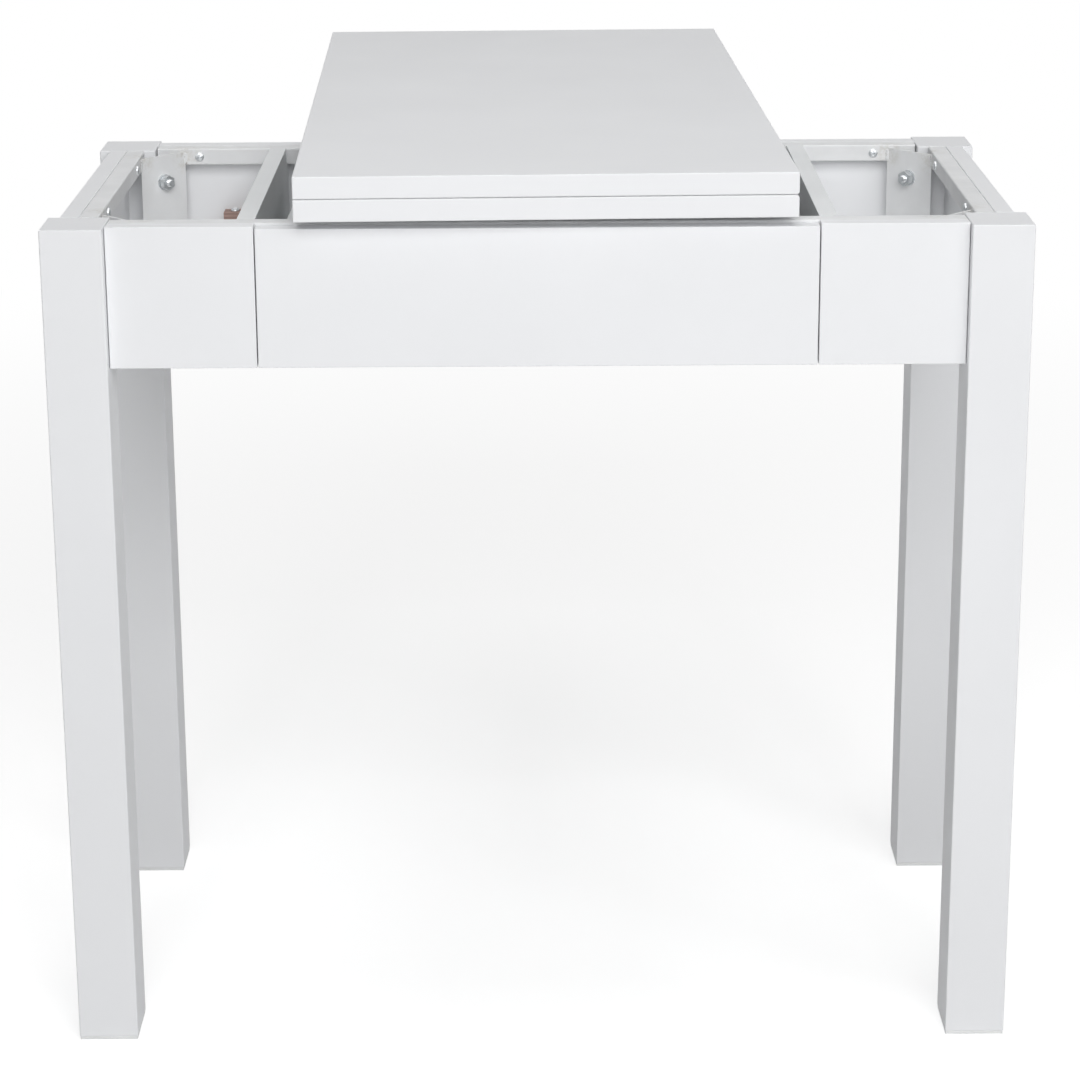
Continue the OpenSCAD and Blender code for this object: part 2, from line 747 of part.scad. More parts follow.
module lower_leaf() color(board_white) on_top() difference() {
    leaf_blank(lower_face, [leaf_edge_r, leaf_edge_r, hinge_pin_in, leaf_edge_r]);
    hinge_recesses();
    at_hinge_screws() flat_bore(screw_bite);
    at_pivot_screws() flat_bore(pivot_plate_t + screw_bite);
    at_glides() translate([0, 0, -screw_bite - hole_clear])
        rod(flat_shank_d + 2 * hole_clear, screw_bite + cut);
}

module upper_leaf() color(board_white) on_top() difference() {
    leaf_blank(fold_plane + leaf_slit / 2, [leaf_edge_r, hinge_pin_in, leaf_edge_r, leaf_edge_r]);
    in_upper_leaf() {
        hinge_recesses();
        at_hinge_screws() flat_bore(screw_bite);
    }
}

// Outline of a lug across the pin, round at the leaf's edge; x runs outwards and y up
module lug_outline() {
    circle(hinge_pin_in);
    translate([-2 * hinge_pin_in, -hinge_pin_in]) square([2 * hinge_pin_in, 2 * hinge_pin_in]);
}

// One hinge plate of the lower leaf with its two lugs, at the middle hinge
module hinge_plate() {
    edge = leaf_width / 2;
    difference() {
        union() {
            box([-hinge_plate_l / 2, edge - hinge_plate_d, lower_leaf_top - hinge_plate_t],
                [hinge_plate_l / 2, edge - 2 * hinge_pin_in, lower_leaf_top]);
            for (side = [-1, 1])
                translate([side * (hinge_link_w / 2 + let_in + hinge_lug_w / 2) - hinge_lug_w / 2, hinge_y,
                    lower_leaf_top - hinge_pin_in])
                    rotate([90, 0, 90]) linear_extrude(hinge_lug_w) lug_outline();
        }
        translate([-hinge_half - cut, hinge_y, lower_leaf_top - hinge_pin_in]) rotate([0, 90, 0])
            rod(hinge_pin_d + 2 * hole_clear, 2 * (hinge_half + cut));
        for (side = [-1, 1]) translate([side * hinge_screw_x, hinge_screw_y, lower_leaf_top])
            flat_bore(screw_bite);
        translate([-hinge_link_w / 2 - let_in, hinge_y - link_r - let_in, lower_leaf_top - hinge_plate_t - cut])
            cube([hinge_link_w + 2 * let_in, 2 * hinge_pin_in, hinge_plate_t + 2 * cut]);
    }
}

module hinge_pins() {
    for (x = hinge_xs) translate([x - hinge_half, hinge_y, lower_leaf_top - hinge_pin_in]) rotate([0, 90, 0])
        rod(hinge_pin_d, 2 * hinge_half);
}

// Links between the two pin lines: upright while the top is folded, flat in the leaves when it is open
module hinge_links() color(steel) on_top() for (x = hinge_xs)
    translate([x - hinge_link_w / 2, hinge_y, fold_plane]) rotate([90, 0, 90]) linear_extrude(hinge_link_w)
        difference() {
            union() {
                for (side = [-1, 1]) translate([0, side * pin_drop]) circle(link_r);
                translate([-link_r, -pin_drop]) square([2 * link_r, 2 * pin_drop]);
            }
            for (side = [-1, 1]) translate([0, side * pin_drop]) circle(d = hinge_pin_d + 2 * run_clear);
        }

module hinge_plates_lower() color(zinc) on_top() for (x = hinge_xs) translate([x, 0, 0]) hinge_plate();
module hinge_plates_upper() color(zinc) on_top() in_upper_leaf()
    for (x = hinge_xs) translate([x, 0, 0]) hinge_plate();
module hinge_pins_lower() color(steel) on_top() hinge_pins();
module hinge_pins_upper() color(steel) on_top() in_upper_leaf() hinge_pins();

module lower_leaf_screws() color(zinc) on_top() {
    at_hinge_screws() flat_screw(screw_bite);
    at_pivot_screws() flat_screw(pivot_plate_t + screw_bite);
}

module upper_leaf_screws() color(zinc) on_top() in_upper_leaf() at_hinge_screws() flat_screw(screw_bite);

// Drawer

// Groove for the bottom panel, cut round all four sides of the drawer box
module bottom_groove() {
    low = drawer_floor - slide_clear;
    high = drawer_floor + drawer_bottom_t + slide_clear;
    box([-drawer_inner_half - groove_d, drawer_y - groove_d, low],
        [drawer_inner_half + groove_d, drawer_end - drawer_side_t + groove_d, high]);
}

module drawer_front() color(board_white) standing() difference() {
    board([-front_half, -y_board, apron_low], [front_half, drawer_y, frame_top - drawer_front_drop],
        board_edge_r);
    bottom_groove();
}

module drawer_side() {
    difference() {
        board([drawer_inner_half, drawer_y, drawer_low],
            [drawer_half, drawer_end, drawer_low + drawer_side_h], board_edge_r);
        bottom_groove();
        at_lip_screws() pan_bore(runner_sheet, lip_screw_bite);
        at_back_screws() flat_bore(drawer_side_t + screw_bite);
    }
}

module drawer_side_right() color(board_white) standing() drawer_side();
module drawer_side_left() color(board_white) standing() mirror([1, 0, 0]) drawer_side();

module drawer_back() color(board_white) standing() difference() {
    board([-drawer_inner_half, drawer_end - drawer_side_t, drawer_low],
        [drawer_inner_half, drawer_end, drawer_low + drawer_side_h], board_edge_r);
    bottom_groove();
    both_sides() at_back_screws() flat_bore(drawer_side_t + screw_bite);
}

module drawer_bottom() color(inner_grey) standing()
    box([-drawer_inner_half - groove_d + slide_clear, drawer_y - groove_d + slide_clear, drawer_floor],
        [drawer_inner_half + groove_d - slide_clear, drawer_end - drawer_side_t + groove_d - slide_clear,
            drawer_floor + drawer_bottom_t]);

// Along the screws through the right side into the back: origin on the side's outer face
module at_back_screws() {
    for (z = [drawer_low + back_screw_low, drawer_low + drawer_side_h - back_screw_top])
        translate([drawer_half, drawer_end - drawer_side_t / 2, z]) rotate([0, 90, 0]) children();
}

// Along the screws up through the right runner's lip: origin on the lip's lower face
module at_lip_screws() {
    for (y = runner_screw_ys)
        translate([drawer_half - drawer_side_t / 2, y, drawer_low - runner_sheet]) rotate([180, 0, 0]) children();
}

module drawer_screws() color(zinc) standing() both_sides() {
    at_lip_screws() pan_screw(runner_sheet, lip_screw_bite);
    at_back_screws() flat_screw(drawer_side_t + screw_bite);
}

// Drawer runners, drawn for the right side; they lie between the partition and the drawer's side

// Along the screws that hold the right fixed runner: origin on its web, -Z into the partition
module at_runner_screws() {
    for (y = runner_screw_ys)
        translate([bay_half - runner_sheet, y, (track_z + flange_z) / 2]) rotate([0, -90, 0]) children();
}

// Stub axle riveted in a web: from the web's face at z = 0, with a head that keeps the roller on
module axle() {
    l = roller_side_gap + roller_w + slide_clear;
    translate([0, 0, -runner_sheet / 2]) rod(axle_d, l + axle_head_t + runner_sheet / 2);
    translate([0, 0, l]) rod(axle_head_d, axle_head_t);
}

// Channel on the partition, open towards the drawer, with the front roller's axle
module runner_fixed() {
    web_x = bay_half - runner_sheet;
    difference() {
        union() {
            box([web_x, runner_y, drawer_low], [bay_half, runner_y + runner_l, runner_top]);
            box([bay_half - runner_w + 1.5 * runner_sheet, runner_y, drawer_low],
                [bay_half, runner_y + runner_l, track_z]);
            box([bay_half - 0.75 * runner_w, runner_y, cover_z], [bay_half, runner_y + runner_l, runner_top]);
        }
        at_runner_screws() pan_bore(runner_sheet);
    }
    translate([web_x, front_roller_y, front_roller_z]) rotate([0, -90, 0]) axle();
}

// Profile under the drawer's side: it rolls on the front roller, and carries the rear roller
module runner_moving() {
    web_x = drawer_half + runner_sheet;
    difference() {
        union() {
            box([drawer_half, runner_y, drawer_low - runner_sheet],
                [web_x, runner_y + runner_l, flange_z + runner_sheet]);
            box([drawer_half, runner_y, flange_z],
                [bay_half - runner_sheet - flange_gap, runner_y + runner_l, flange_z + runner_sheet]);
            box([drawer_half - runner_lip, runner_y, drawer_low - runner_sheet],
                [web_x, runner_y + runner_l, drawer_low]);
        }
        at_lip_screws() pan_bore(runner_sheet, lip_screw_bite);
    }
    translate([web_x, rear_roller_y, rear_roller_z]) rotate([0, 90, 0]) axle();
}

// Roller from z = 0 up along its axle, with a dish in its outer face between the rim and the hub
module roller() {
    dish = roller_w / 5;
    edge = 0.5;
    bore_r = axle_d / 2 + run_clear;
    hub_r = bore_r + 1.45;
    rim_r = roller_r - 2;
    rotate_extrude() polygon([
        [bore_r, 0], [roller_r - edge, 0], [roller_r, edge], [roller_r, roller_w - edge],
        [roller_r - edge, roller_w], [rim_r, roller_w], [rim_r - 2 * edge, roller_w - dish],
        [hub_r + edge, roller_w - dish], [hub_r, roller_w], [bore_r, roller_w]
    ]);
}

module roller_front() {
    translate([bay_half - runner_sheet - roller_side_gap, front_roller_y, front_roller_z])
        rotate([0, -90, 0]) roller();
}

module roller_rear() {
    translate([drawer_half + runner_sheet + roller_side_gap, rear_roller_y, rear_roller_z])
        rotate([0, 90, 0]) roller();
}

module runner_fixed_right() color(powder_white) standing() runner_fixed();
module runner_fixed_left() color(powder_white) standing() mirror([1, 0, 0]) runner_fixed();
module runner_moving_right() color(powder_white) standing() runner_moving();
module runner_moving_left() color(powder_white) standing() mirror([1, 0, 0]) runner_moving();
module roller_front_right() color(nylon) standing() roller_front();
module roller_front_left() color(nylon) standing() mirror([1, 0, 0]) roller_front();
module roller_rear_right() color(nylon) standing() roller_rear();
module roller_rear_left() color(nylon) standing() mirror([1, 0, 0]) roller_rear();

module runner_screws() color(zinc) standing() both_sides() at_runner_screws() low_screw();

// Screw with a low head, for the space beside the rollers
module low_screw() {
    cylinder(d1 = pan_head_d, d2 = pan_head_d - low_head_taper, h = low_head_h);
    translate([0, 0, -runner_sheet - screw_bite]) rod(screw_d, runner_sheet + screw_bite + low_head_h / 2);
}

leg_front_left();
leg_front_right();
leg_rear_left();
leg_rear_right();
foot_plates();
apron_rear();
apron_left();
apron_right();
front_panel_left();
front_panel_right();
rail_front();
rail_rear();
rail_left();
rail_right();
corner_plate_front_left();
corner_plate_front_right();
corner_plate_rear_left();
corner_plate_rear_right();
hanger_bolts();
bolt_washers();
bolt_nuts();
rail_screws();
partition_left();
partition_right();
fixing_block();
block_screws();
pivot_beam();
pivot_bush();
thrust_washer();
lower_leaf();
pivot_plate();
pivot_stud();
stop_pin();
lock_washer();
pivot_nut();
lower_leaf_screws();
top_glides();
hinge_plates_lower();
hinge_pins_lower();
hinge_links();
upper_leaf();
hinge_plates_upper();
hinge_pins_upper();
upper_leaf_screws();
drawer_front();
drawer_side_left();
drawer_side_right();
drawer_back();
drawer_bottom();
drawer_screws();
runner_fixed_left();
runner_fixed_right();
runner_moving_left();
runner_moving_right();
runner_screws();
roller_front_left();
roller_front_right();
roller_rear_left();
roller_rear_right();
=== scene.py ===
# Looks of the folding kitchen table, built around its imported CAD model.
# Lengths are in metres and in the model's own frame, unless a name ends in _mm.

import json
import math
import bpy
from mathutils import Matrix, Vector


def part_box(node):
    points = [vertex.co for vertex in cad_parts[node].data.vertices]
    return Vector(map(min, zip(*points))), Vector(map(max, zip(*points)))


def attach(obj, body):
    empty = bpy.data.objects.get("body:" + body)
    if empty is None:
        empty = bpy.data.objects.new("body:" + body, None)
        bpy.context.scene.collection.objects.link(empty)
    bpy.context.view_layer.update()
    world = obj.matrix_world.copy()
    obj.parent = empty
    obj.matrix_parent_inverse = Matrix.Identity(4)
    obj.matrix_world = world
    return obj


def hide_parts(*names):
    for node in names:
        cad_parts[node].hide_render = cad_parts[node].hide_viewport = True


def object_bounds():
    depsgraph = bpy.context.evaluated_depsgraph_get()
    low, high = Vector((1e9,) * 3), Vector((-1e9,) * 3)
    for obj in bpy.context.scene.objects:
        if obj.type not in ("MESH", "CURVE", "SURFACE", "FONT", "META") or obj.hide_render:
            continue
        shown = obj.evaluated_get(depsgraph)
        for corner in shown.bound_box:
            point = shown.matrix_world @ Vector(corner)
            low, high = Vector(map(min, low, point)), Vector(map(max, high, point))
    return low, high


bl_info = {
    "name": "Folding kitchen table",
    "version": (1, 0, 0),
    "blender": (4, 5, 0),
    "location": "View3D > Sidebar > Kitchen table",
    "description": "Dresses the white folding kitchen table and sets up its studio",
    "category": "Object",
}

import bmesh
import bpy
import numpy as np
from bpy.props import FloatProperty, FloatVectorProperty, PointerProperty
from mathutils import Matrix, Vector

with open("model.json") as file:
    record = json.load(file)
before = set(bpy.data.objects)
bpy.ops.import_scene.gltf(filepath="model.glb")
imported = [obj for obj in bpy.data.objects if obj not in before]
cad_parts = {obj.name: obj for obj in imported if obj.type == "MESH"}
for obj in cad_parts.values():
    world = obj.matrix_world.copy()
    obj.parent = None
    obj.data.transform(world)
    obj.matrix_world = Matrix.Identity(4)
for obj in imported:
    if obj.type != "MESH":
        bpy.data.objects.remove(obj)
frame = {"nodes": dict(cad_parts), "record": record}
CAD_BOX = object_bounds()
MM = 0.001

# Nearly all values of a noise texture lie in this span
NOISE_SPAN = {"From Min": 0.3, "From Max": 0.7}

# Points round a screw, and rings along each ripple of a weld bead
SCREW_POINTS = 56
RIPPLE_RINGS = 7


# Small tools

def linear(code):
    """A hex colour as it is written in sRGB, turned to the linear values that shaders take."""
    parts = [int(code[i:i + 2], 16) / 255 for i in (1, 3, 5)]
    values = [c / 12.92 if c <= 0.04045 else ((c + 0.055) / 1.055) ** 2.4 for c in parts]
    return (*values, 1.0)


def add_node(tree, kind, inputs=None, **settings):
    """Adds a node with its settings, and sets its inputs or links a node or a socket to them."""
    node = tree.nodes.new(kind)
    for name, value in settings.items():
        setattr(node, name, value)
    for name, value in (inputs or {}).items():
        socket = node.inputs[name] if isinstance(name, int) else next(
            s for s in node.inputs if s.name == name and s.enabled)
        if isinstance(value, bpy.types.Node):
            value = next(s for s in value.outputs if s.enabled)
        if isinstance(value, bpy.types.NodeSocket):
            tree.links.new(value, socket)
        else:
            socket.default_value = value
    return node


def start_material(name):
    """An empty node material, with coordinates that are metres on the piece."""
    material = bpy.data.materials.new(name)
    material.use_nodes = True
    tree = material.node_tree
    tree.nodes.clear()
    return material, tree, add_node(tree, "ShaderNodeTexCoord").outputs["Object"]


def per_mm(size):
    """The scale of a noise pattern whose blotches are that many millimetres across."""
    return 1 / (size * MM)


def bands_per_mm(size):
    """The scale of a wave texture whose bands are that many millimetres apart.

    The texture repeats 20 / (2 pi) times per unit of its scale."""
    return per_mm(size) * 2 * math.pi / 20


def shade(colour, factor):
    """A linear colour made lighter or darker."""
    return tuple(min(1.0, c * factor) for c in colour[:3]) + (1.0,)


def nodes_with(slot):
    """The CAD nodes whose finish is that slot of the record."""
    return [s["node"] for s in frame["record"]["subparts"] if s["material_slot"] == slot]


def dress(nodes, material):
    """Gives CAD nodes a material."""
    if not nodes:
        raise RuntimeError("No CAD node takes " + material.name)
    for name in nodes:
        node = frame["nodes"][name]
        if not node.material_slots:
            node.data.materials.append(material)
        for s in node.material_slots:
            s.material = material


def make_piece(name, verts, faces, material, body, sharp_degrees=35.0):
    """A mesh piece that rides on a body. Its faces are smooth up to the sharp angle."""
    if not faces:
        raise RuntimeError("Nothing was built for " + name)
    mesh = bpy.data.meshes.new(name)
    mesh.from_pydata([tuple(v) for v in verts], [], faces)
    mesh.validate()
    mesh.materials.append(material)
    mesh.polygons.foreach_set("use_smooth", [True] * len(mesh.polygons))
    mesh.set_sharp_from_angle(angle=math.radians(sharp_degrees))
    piece = bpy.data.objects.new(name, mesh)
    bpy.context.scene.collection.objects.link(piece)
    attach(piece, body)
    return piece


class Builder:
    """Collects the vertices and faces of one piece."""

    def __init__(self):
        self.verts = []
        self.faces = []

    def add(self, verts, faces, place=None):
        """Adds a part in its own coordinates, turned and moved by a matrix."""
        first = len(self.verts)
        self.verts += [place @ Vector(v) if place else Vector(v) for v in verts]
        self.faces += [tuple(first + i for i in f) for f in faces]

    def add_rings(self, rings, place=None):
        """Adds a closed skin through rings of points, which a single point closes at each end."""
        verts, faces, starts = [], [], []
        for ring in rings:
            starts.append(len(verts))
            verts += ring
        for a, b, ring_a, ring_b in zip(starts, starts[1:], rings, rings[1:]):
            n = max(len(ring_a), len(ring_b))
            for k in range(n):
                j = (k + 1) % n
                if len(ring_a) == 1:
                    faces.append((a, b + k, b + j))
                elif len(ring_b) == 1:
                    faces.append((a + j, a + k, b))
                else:
                    faces.append((a + j, a + k, b + k, b + j))
        self.add(verts, faces, place)


def circle(r, z, count):
    """Points of a ring round +Z."""
    angles = np.linspace(0, 2 * math.pi, count, endpoint=False)
    return [(r * math.cos(a), r * math.sin(a), z) for a in angles]


def solids_of(node):
    """The vertices of each separate solid of a CAD node."""
    work = bmesh.new()
    work.from_mesh(frame["nodes"][node].data)
    bmesh.ops.remove_doubles(work, verts=work.verts, dist=0.001 * MM)
    seen, solids = set(), []
    for start in work.verts:
        if start.index in seen:
            continue
        seen.add(start.index)
        queue, found = [start], []
        while queue:
            v = queue.pop()
            found.append(tuple(v.co))
            for edge in v.link_edges:
                other = edge.other_vert(v)
                if other.index not in seen:
                    seen.add(other.index)
                    queue.append(other)
        solids.append(np.array(found))
    work.free()
    if not solids:
        raise RuntimeError("No solids in " + node)
    return solids


def shafts_of(node):
    """Each screw of a node: a matrix that puts its head's top at 0 and +Z out of it, its length,
    and the radii of its head and of its shank."""
    found = []
    for points in solids_of(node):
        # The axis is the direction in which the points spread most
        centre = (points.max(axis=0) + points.min(axis=0)) / 2
        axis = np.linalg.svd(points - points.mean(axis=0), full_matrices=False)[2][0]
        along = (points - centre) @ axis
        radial = np.linalg.norm(points - centre - np.outer(along, axis), axis=1)
        # The head is the wider end
        if radial[along > 0].max() < radial[along < 0].max():
            axis, along = -axis, -along
        length = along.max() - along.min()
        top = Vector(centre + axis * along.max())
        turn = Vector((0, 0, 1)).rotation_difference(Vector(axis)).to_matrix().to_4x4()
        tip = radial[along < along.min() + 0.1 * length]
        found.append((Matrix.Translation(top) @ turn, length, radial.max(), tip.max()))
    return found


# Settings that a user would change

class TableFinishes(bpy.types.PropertyGroup):
    """Colours of the table's finishes"""
    lacquer: FloatVectorProperty(
        name="Board lacquer", description="Satin lacquer of the top, aprons and front",
        size=4, min=0, max=1, subtype="COLOR", default=linear("#EFF0F2"))
    leg_lacquer: FloatVectorProperty(
        name="Leg lacquer", description="Satin lacquer of the legs",
        size=4, min=0, max=1, subtype="COLOR", default=linear("#EDEEF0"))
    foil: FloatVectorProperty(
        name="Foil", description="Satin foil of the partitions and the drawer box",
        size=4, min=0, max=1, subtype="COLOR", default=linear("#EAECED"))
    powder: FloatVectorProperty(
        name="Powder coat", description="Coat of the steel rails, corner plates and runners",
        size=4, min=0, max=1, subtype="COLOR", default=linear("#EAEBEC"))
    zinc: FloatVectorProperty(
        name="Zinc plate", description="Plating of the screws, nuts and hinge plates",
        size=4, min=0, max=1, subtype="COLOR", default=linear("#DADDDF"))
    steel: FloatVectorProperty(
        name="Turned steel", description="Bare steel of the pivot, pins and links",
        size=4, min=0, max=1, subtype="COLOR", default=linear("#ACAFB2"))
    nylon: FloatVectorProperty(
        name="Nylon", description="Feet, glides, rollers and thrust washer",
        size=4, min=0, max=1, subtype="COLOR", default=linear("#E7E8E8"))
    scorch: FloatVectorProperty(
        name="Scorch", description="Stains in the powder coat round the welds",
        size=4, min=0, max=1, subtype="COLOR", default=linear("#B3AC9B"))
    slag: FloatVectorProperty(
        name="Slag", description="Specks in the powder coat on the welds",
        size=4, min=0, max=1, subtype="COLOR", default=linear("#8C8378"))
    wood: FloatVectorProperty(
        name="Raw wood", description="Fixing block in the left bay",
        size=4, min=0, max=1, subtype="COLOR", default=linear("#AC9086"))


class TableDetails(bpy.types.PropertyGroup):
    """Sizes of the details that the CAD model leaves plain"""
    recess_reach: FloatProperty(
        name="Cross reach", description="Half length of a screw's cross recess",
        unit="LENGTH", default=2.2 * MM, min=1.2 * MM, max=2.6 * MM, precision=5)
    recess_width: FloatProperty(
        name="Cross width", description="Width of the cross recess's arms",
        unit="LENGTH", default=1.1 * MM, min=0.6 * MM, max=1.6 * MM, precision=5)
    recess_depth: FloatProperty(
        name="Cross depth", description="Depth of the cross recess",
        unit="LENGTH", default=1.3 * MM, min=0.4 * MM, max=1.6 * MM, precision=5)
    pan_height: FloatProperty(
        name="Pan head height", description="Height of the pan heads",
        unit="LENGTH", default=2.6 * MM, min=2 * MM, max=3 * MM, precision=5)
    low_height: FloatProperty(
        name="Low head height", description="Height of the runner screws' heads",
        unit="LENGTH", default=1.4 * MM, min=1 * MM, max=2 * MM, precision=5)
    sink_height: FloatProperty(
        name="Countersunk head height", description="Height of the countersunk heads",
        unit="LENGTH", default=2 * MM, min=1.5 * MM, max=3 * MM, precision=5)
    thread_pitch: FloatProperty(
        name="Thread pitch", description="Pitch of the hanger bolts' thread",
        unit="LENGTH", default=1.25 * MM, min=0.8 * MM, max=2 * MM, precision=5)
    thread_depth: FloatProperty(
        name="Thread depth", description="Depth of that thread",
        unit="LENGTH", default=0.7 * MM, min=0.3 * MM, max=1 * MM, precision=5)
    thread_length: FloatProperty(
        name="Thread length", description="Length of the thread that shows",
        unit="LENGTH", default=20 * MM, min=10 * MM, max=40 * MM)
    block_screw_in: FloatProperty(
        name="Block screw", description="Distance from the fixing block's end to the screw on it",
        unit="LENGTH", default=10 * MM, min=6 * MM, max=20 * MM, precision=5)
    weld_size: FloatProperty(
        name="Weld size", description="Width of the weld beads on each side of a corner",
        unit="LENGTH", default=2.2 * MM, min=1 * MM, max=5 * MM, precision=5)
    weld_ripple: FloatProperty(
        name="Weld ripple", description="Distance between the ripples of a weld bead",
        unit="LENGTH", default=1.8 * MM, min=0.8 * MM, max=4 * MM, precision=5)


class TableStage(bpy.types.PropertyGroup):
    """Camera, lamps and floor"""
    eye: FloatVectorProperty(
        name="Camera place", description="Where the camera stands",
        size=3, subtype="TRANSLATION", unit="LENGTH", default=(-0.003, -2.662, 1.185))
    yaw: FloatProperty(
        name="Yaw", description="Turn of the camera round +Z",
        unit="ROTATION", default=math.radians(-0.11))
    pitch: FloatProperty(
        name="Pitch", description="Tilt of the camera, negative downwards",
        unit="ROTATION", default=math.radians(-15.49))
    roll: FloatProperty(
        name="Roll", description="Turn of the camera round its own line of sight",
        unit="ROTATION", default=math.radians(0.31))
    lens: FloatProperty(
        name="Lens", description="Focal length on a sensor 36 mm wide",
        unit="CAMERA", default=97.43, min=20, max=300)
    shift_y: FloatProperty(
        name="Shift", description="Vertical lens shift, as a share of the frame's width",
        default=-0.1204, min=-0.2, max=0.2)
    lamp_size: FloatProperty(
        name="Lamp size", description="Length of the sides of the square lamps",
        unit="LENGTH", default=2.4, min=0.5, max=5)
    front_place: FloatVectorProperty(
        name="Front lamp's place", description="Where that lamp stands",
        size=3, subtype="TRANSLATION", unit="LENGTH", default=(0.1, -3.7, 2.55))
    front_power: FloatProperty(
        name="Front lamp", description="Power of the lamp in front",
        subtype="POWER", default=84.0, min=0, max=2000)
    side_place: FloatVectorProperty(
        name="Side lamp's place", description="Where that lamp stands",
        size=3, subtype="TRANSLATION", unit="LENGTH", default=(2.2, -3.2, 2.4))
    side_power: FloatProperty(
        name="Side lamp", description="Power of the lamp in front, on the right",
        subtype="POWER", default=40.0, min=0, max=2000)
    top_place: FloatVectorProperty(
        name="Top lamp's place", description="Where that lamp stands",
        size=3, subtype="TRANSLATION", unit="LENGTH", default=(0.0, 0.2, 4.2))
    top_power: FloatProperty(
        name="Top lamp", description="Power of the lamp overhead",
        subtype="POWER", default=43.0, min=0, max=2000)
    aim: FloatProperty(
        name="Aim", description="Height that the lamps face, as a share of the table's",
        default=0.67, min=0, max=1)
    surround: FloatProperty(
        name="Surround", description="Strength of the light that comes from all round",
        default=0.1, min=0, max=1)
    floor_size: FloatProperty(
        name="Floor size", description="Length of the floor's sides",
        unit="LENGTH", default=60.0, min=10, max=200)
    floor_paint: FloatProperty(
        name="Floor paint", description="Tone of the floor's paint",
        default=linear("#F2F2F2")[0], min=0, max=1)
    floor_white: FloatProperty(
        name="Floor whiteness", description="Share of plain white in the floor by the table",
        default=0.58, min=0, max=1)
    floor_gain: FloatProperty(
        name="Floor gain", description="What the camera's rays add to the tone of its paint",
        default=0.9, min=0, max=5)
    shadow_reach: FloatProperty(
        name="Shadow reach", description="Distance at which the floor is plain white",
        unit="LENGTH", default=2.6, min=1, max=10)


# Finishes of the boards

def satin_lacquer(name, colour, peel_mm, sheen):
    """Polyurethane lacquer, sprayed on MDF in several coats and cured satin.

    It gives an even white with a soft, wide sheen and a faint orange peel. The tone changes slowly
    where the coats lie thicker. The sanded edges are smoother, and a thin line along them is
    painted lighter, a painted highlight."""
    material, tree, coords = start_material(name)
    tone = add_node(tree, "ShaderNodeTexNoise", {
        "Vector": coords, "Scale": per_mm(260), "Detail": 3.0})
    coats = add_node(tree, "ShaderNodeMapRange", {"Value": tone, **NOISE_SPAN})
    white = add_node(tree, "ShaderNodeMix", {
        "Factor": coats, "A": shade(colour, 1.012), "B": shade(colour, 0.975)}, data_type="RGBA")
    # The edge is where a normal taken over the rounding leaves the face's own
    rounding = add_node(tree, "ShaderNodeBevel", {"Radius": 1.0 * MM}, samples=6)
    face = add_node(tree, "ShaderNodeNewGeometry").outputs["Normal"]
    lean = add_node(tree, "ShaderNodeVectorMath", {
        0: rounding, 1: face}, operation="DOT_PRODUCT").outputs["Value"]
    edge = add_node(tree, "ShaderNodeMapRange", {
        "Value": lean, "From Min": 0.99, "From Max": 0.85, "To Min": 0.0, "To Max": 1.0})
    # Painted highlight: the colour is painted lighter in a thin line along the rounded edges
    highlit_white = add_node(tree, "ShaderNodeMix", {
        "Factor": edge, "A": white, "B": shade(colour, 1.06)}, data_type="RGBA")
    haze = add_node(tree, "ShaderNodeTexNoise", {
        "Vector": coords, "Scale": per_mm(55), "Detail": 4.0, "Roughness": 0.6})
    dull = add_node(tree, "ShaderNodeMapRange", {
        "Value": haze, **NOISE_SPAN, "To Min": sheen, "To Max": sheen + 0.08})
    rough = add_node(tree, "ShaderNodeMath", {0: edge, 1: -0.12, 2: dull}, operation="MULTIPLY_ADD")
    peel = add_node(tree, "ShaderNodeTexNoise", {
        "Vector": coords, "Scale": per_mm(peel_mm), "Detail": 1.5})
    relief = add_node(tree, "ShaderNodeBump", {
        "Height": peel, "Distance": 0.03 * MM, "Strength": 0.35, "Normal": rounding})
    skin = add_node(tree, "ShaderNodeBsdfPrincipled", {
        "Base Color": highlit_white, "Roughness": rough, "Normal": relief,
        "IOR": 1.5, "Specular IOR Level": 0.3})
    add_node(tree, "ShaderNodeOutputMaterial", {"Surface": skin})
    return material


def satin_foil(name, colour):
    """Melamine foil, pressed on chipboard with a pearl-embossed plate.

    It gives a soft white sheen that breaks up on pearls of about 0.6 mm, which are drawn 1.4 mm
    wide so that they show."""
    material, tree, coords = start_material(name)
    cloud = add_node(tree, "ShaderNodeTexNoise", {
        "Vector": coords, "Scale": per_mm(90), "Detail": 3.0})
    press = add_node(tree, "ShaderNodeMapRange", {"Value": cloud, **NOISE_SPAN})
    white = add_node(tree, "ShaderNodeMix", {
        "Factor": press, "A": shade(colour, 1.01), "B": shade(colour, 0.96)}, data_type="RGBA")
    rough = add_node(tree, "ShaderNodeMapRange", {
        "Value": cloud, **NOISE_SPAN, "To Min": 0.45, "To Max": 0.56})
    pearl = add_node(tree, "ShaderNodeTexVoronoi", {
        "Vector": coords, "Scale": per_mm(1.4), "Randomness": 1.0})
    relief = add_node(tree, "ShaderNodeBump", {
        "Height": pearl, "Distance": 0.05 * MM, "Strength": 0.5})
    skin = add_node(tree, "ShaderNodeBsdfPrincipled", {
        "Base Color": white, "Roughness": rough, "Normal": relief,
        "IOR": 1.48, "Specular IOR Level": 0.35})
    add_node(tree, "ShaderNodeOutputMaterial", {"Surface": skin})
    return material


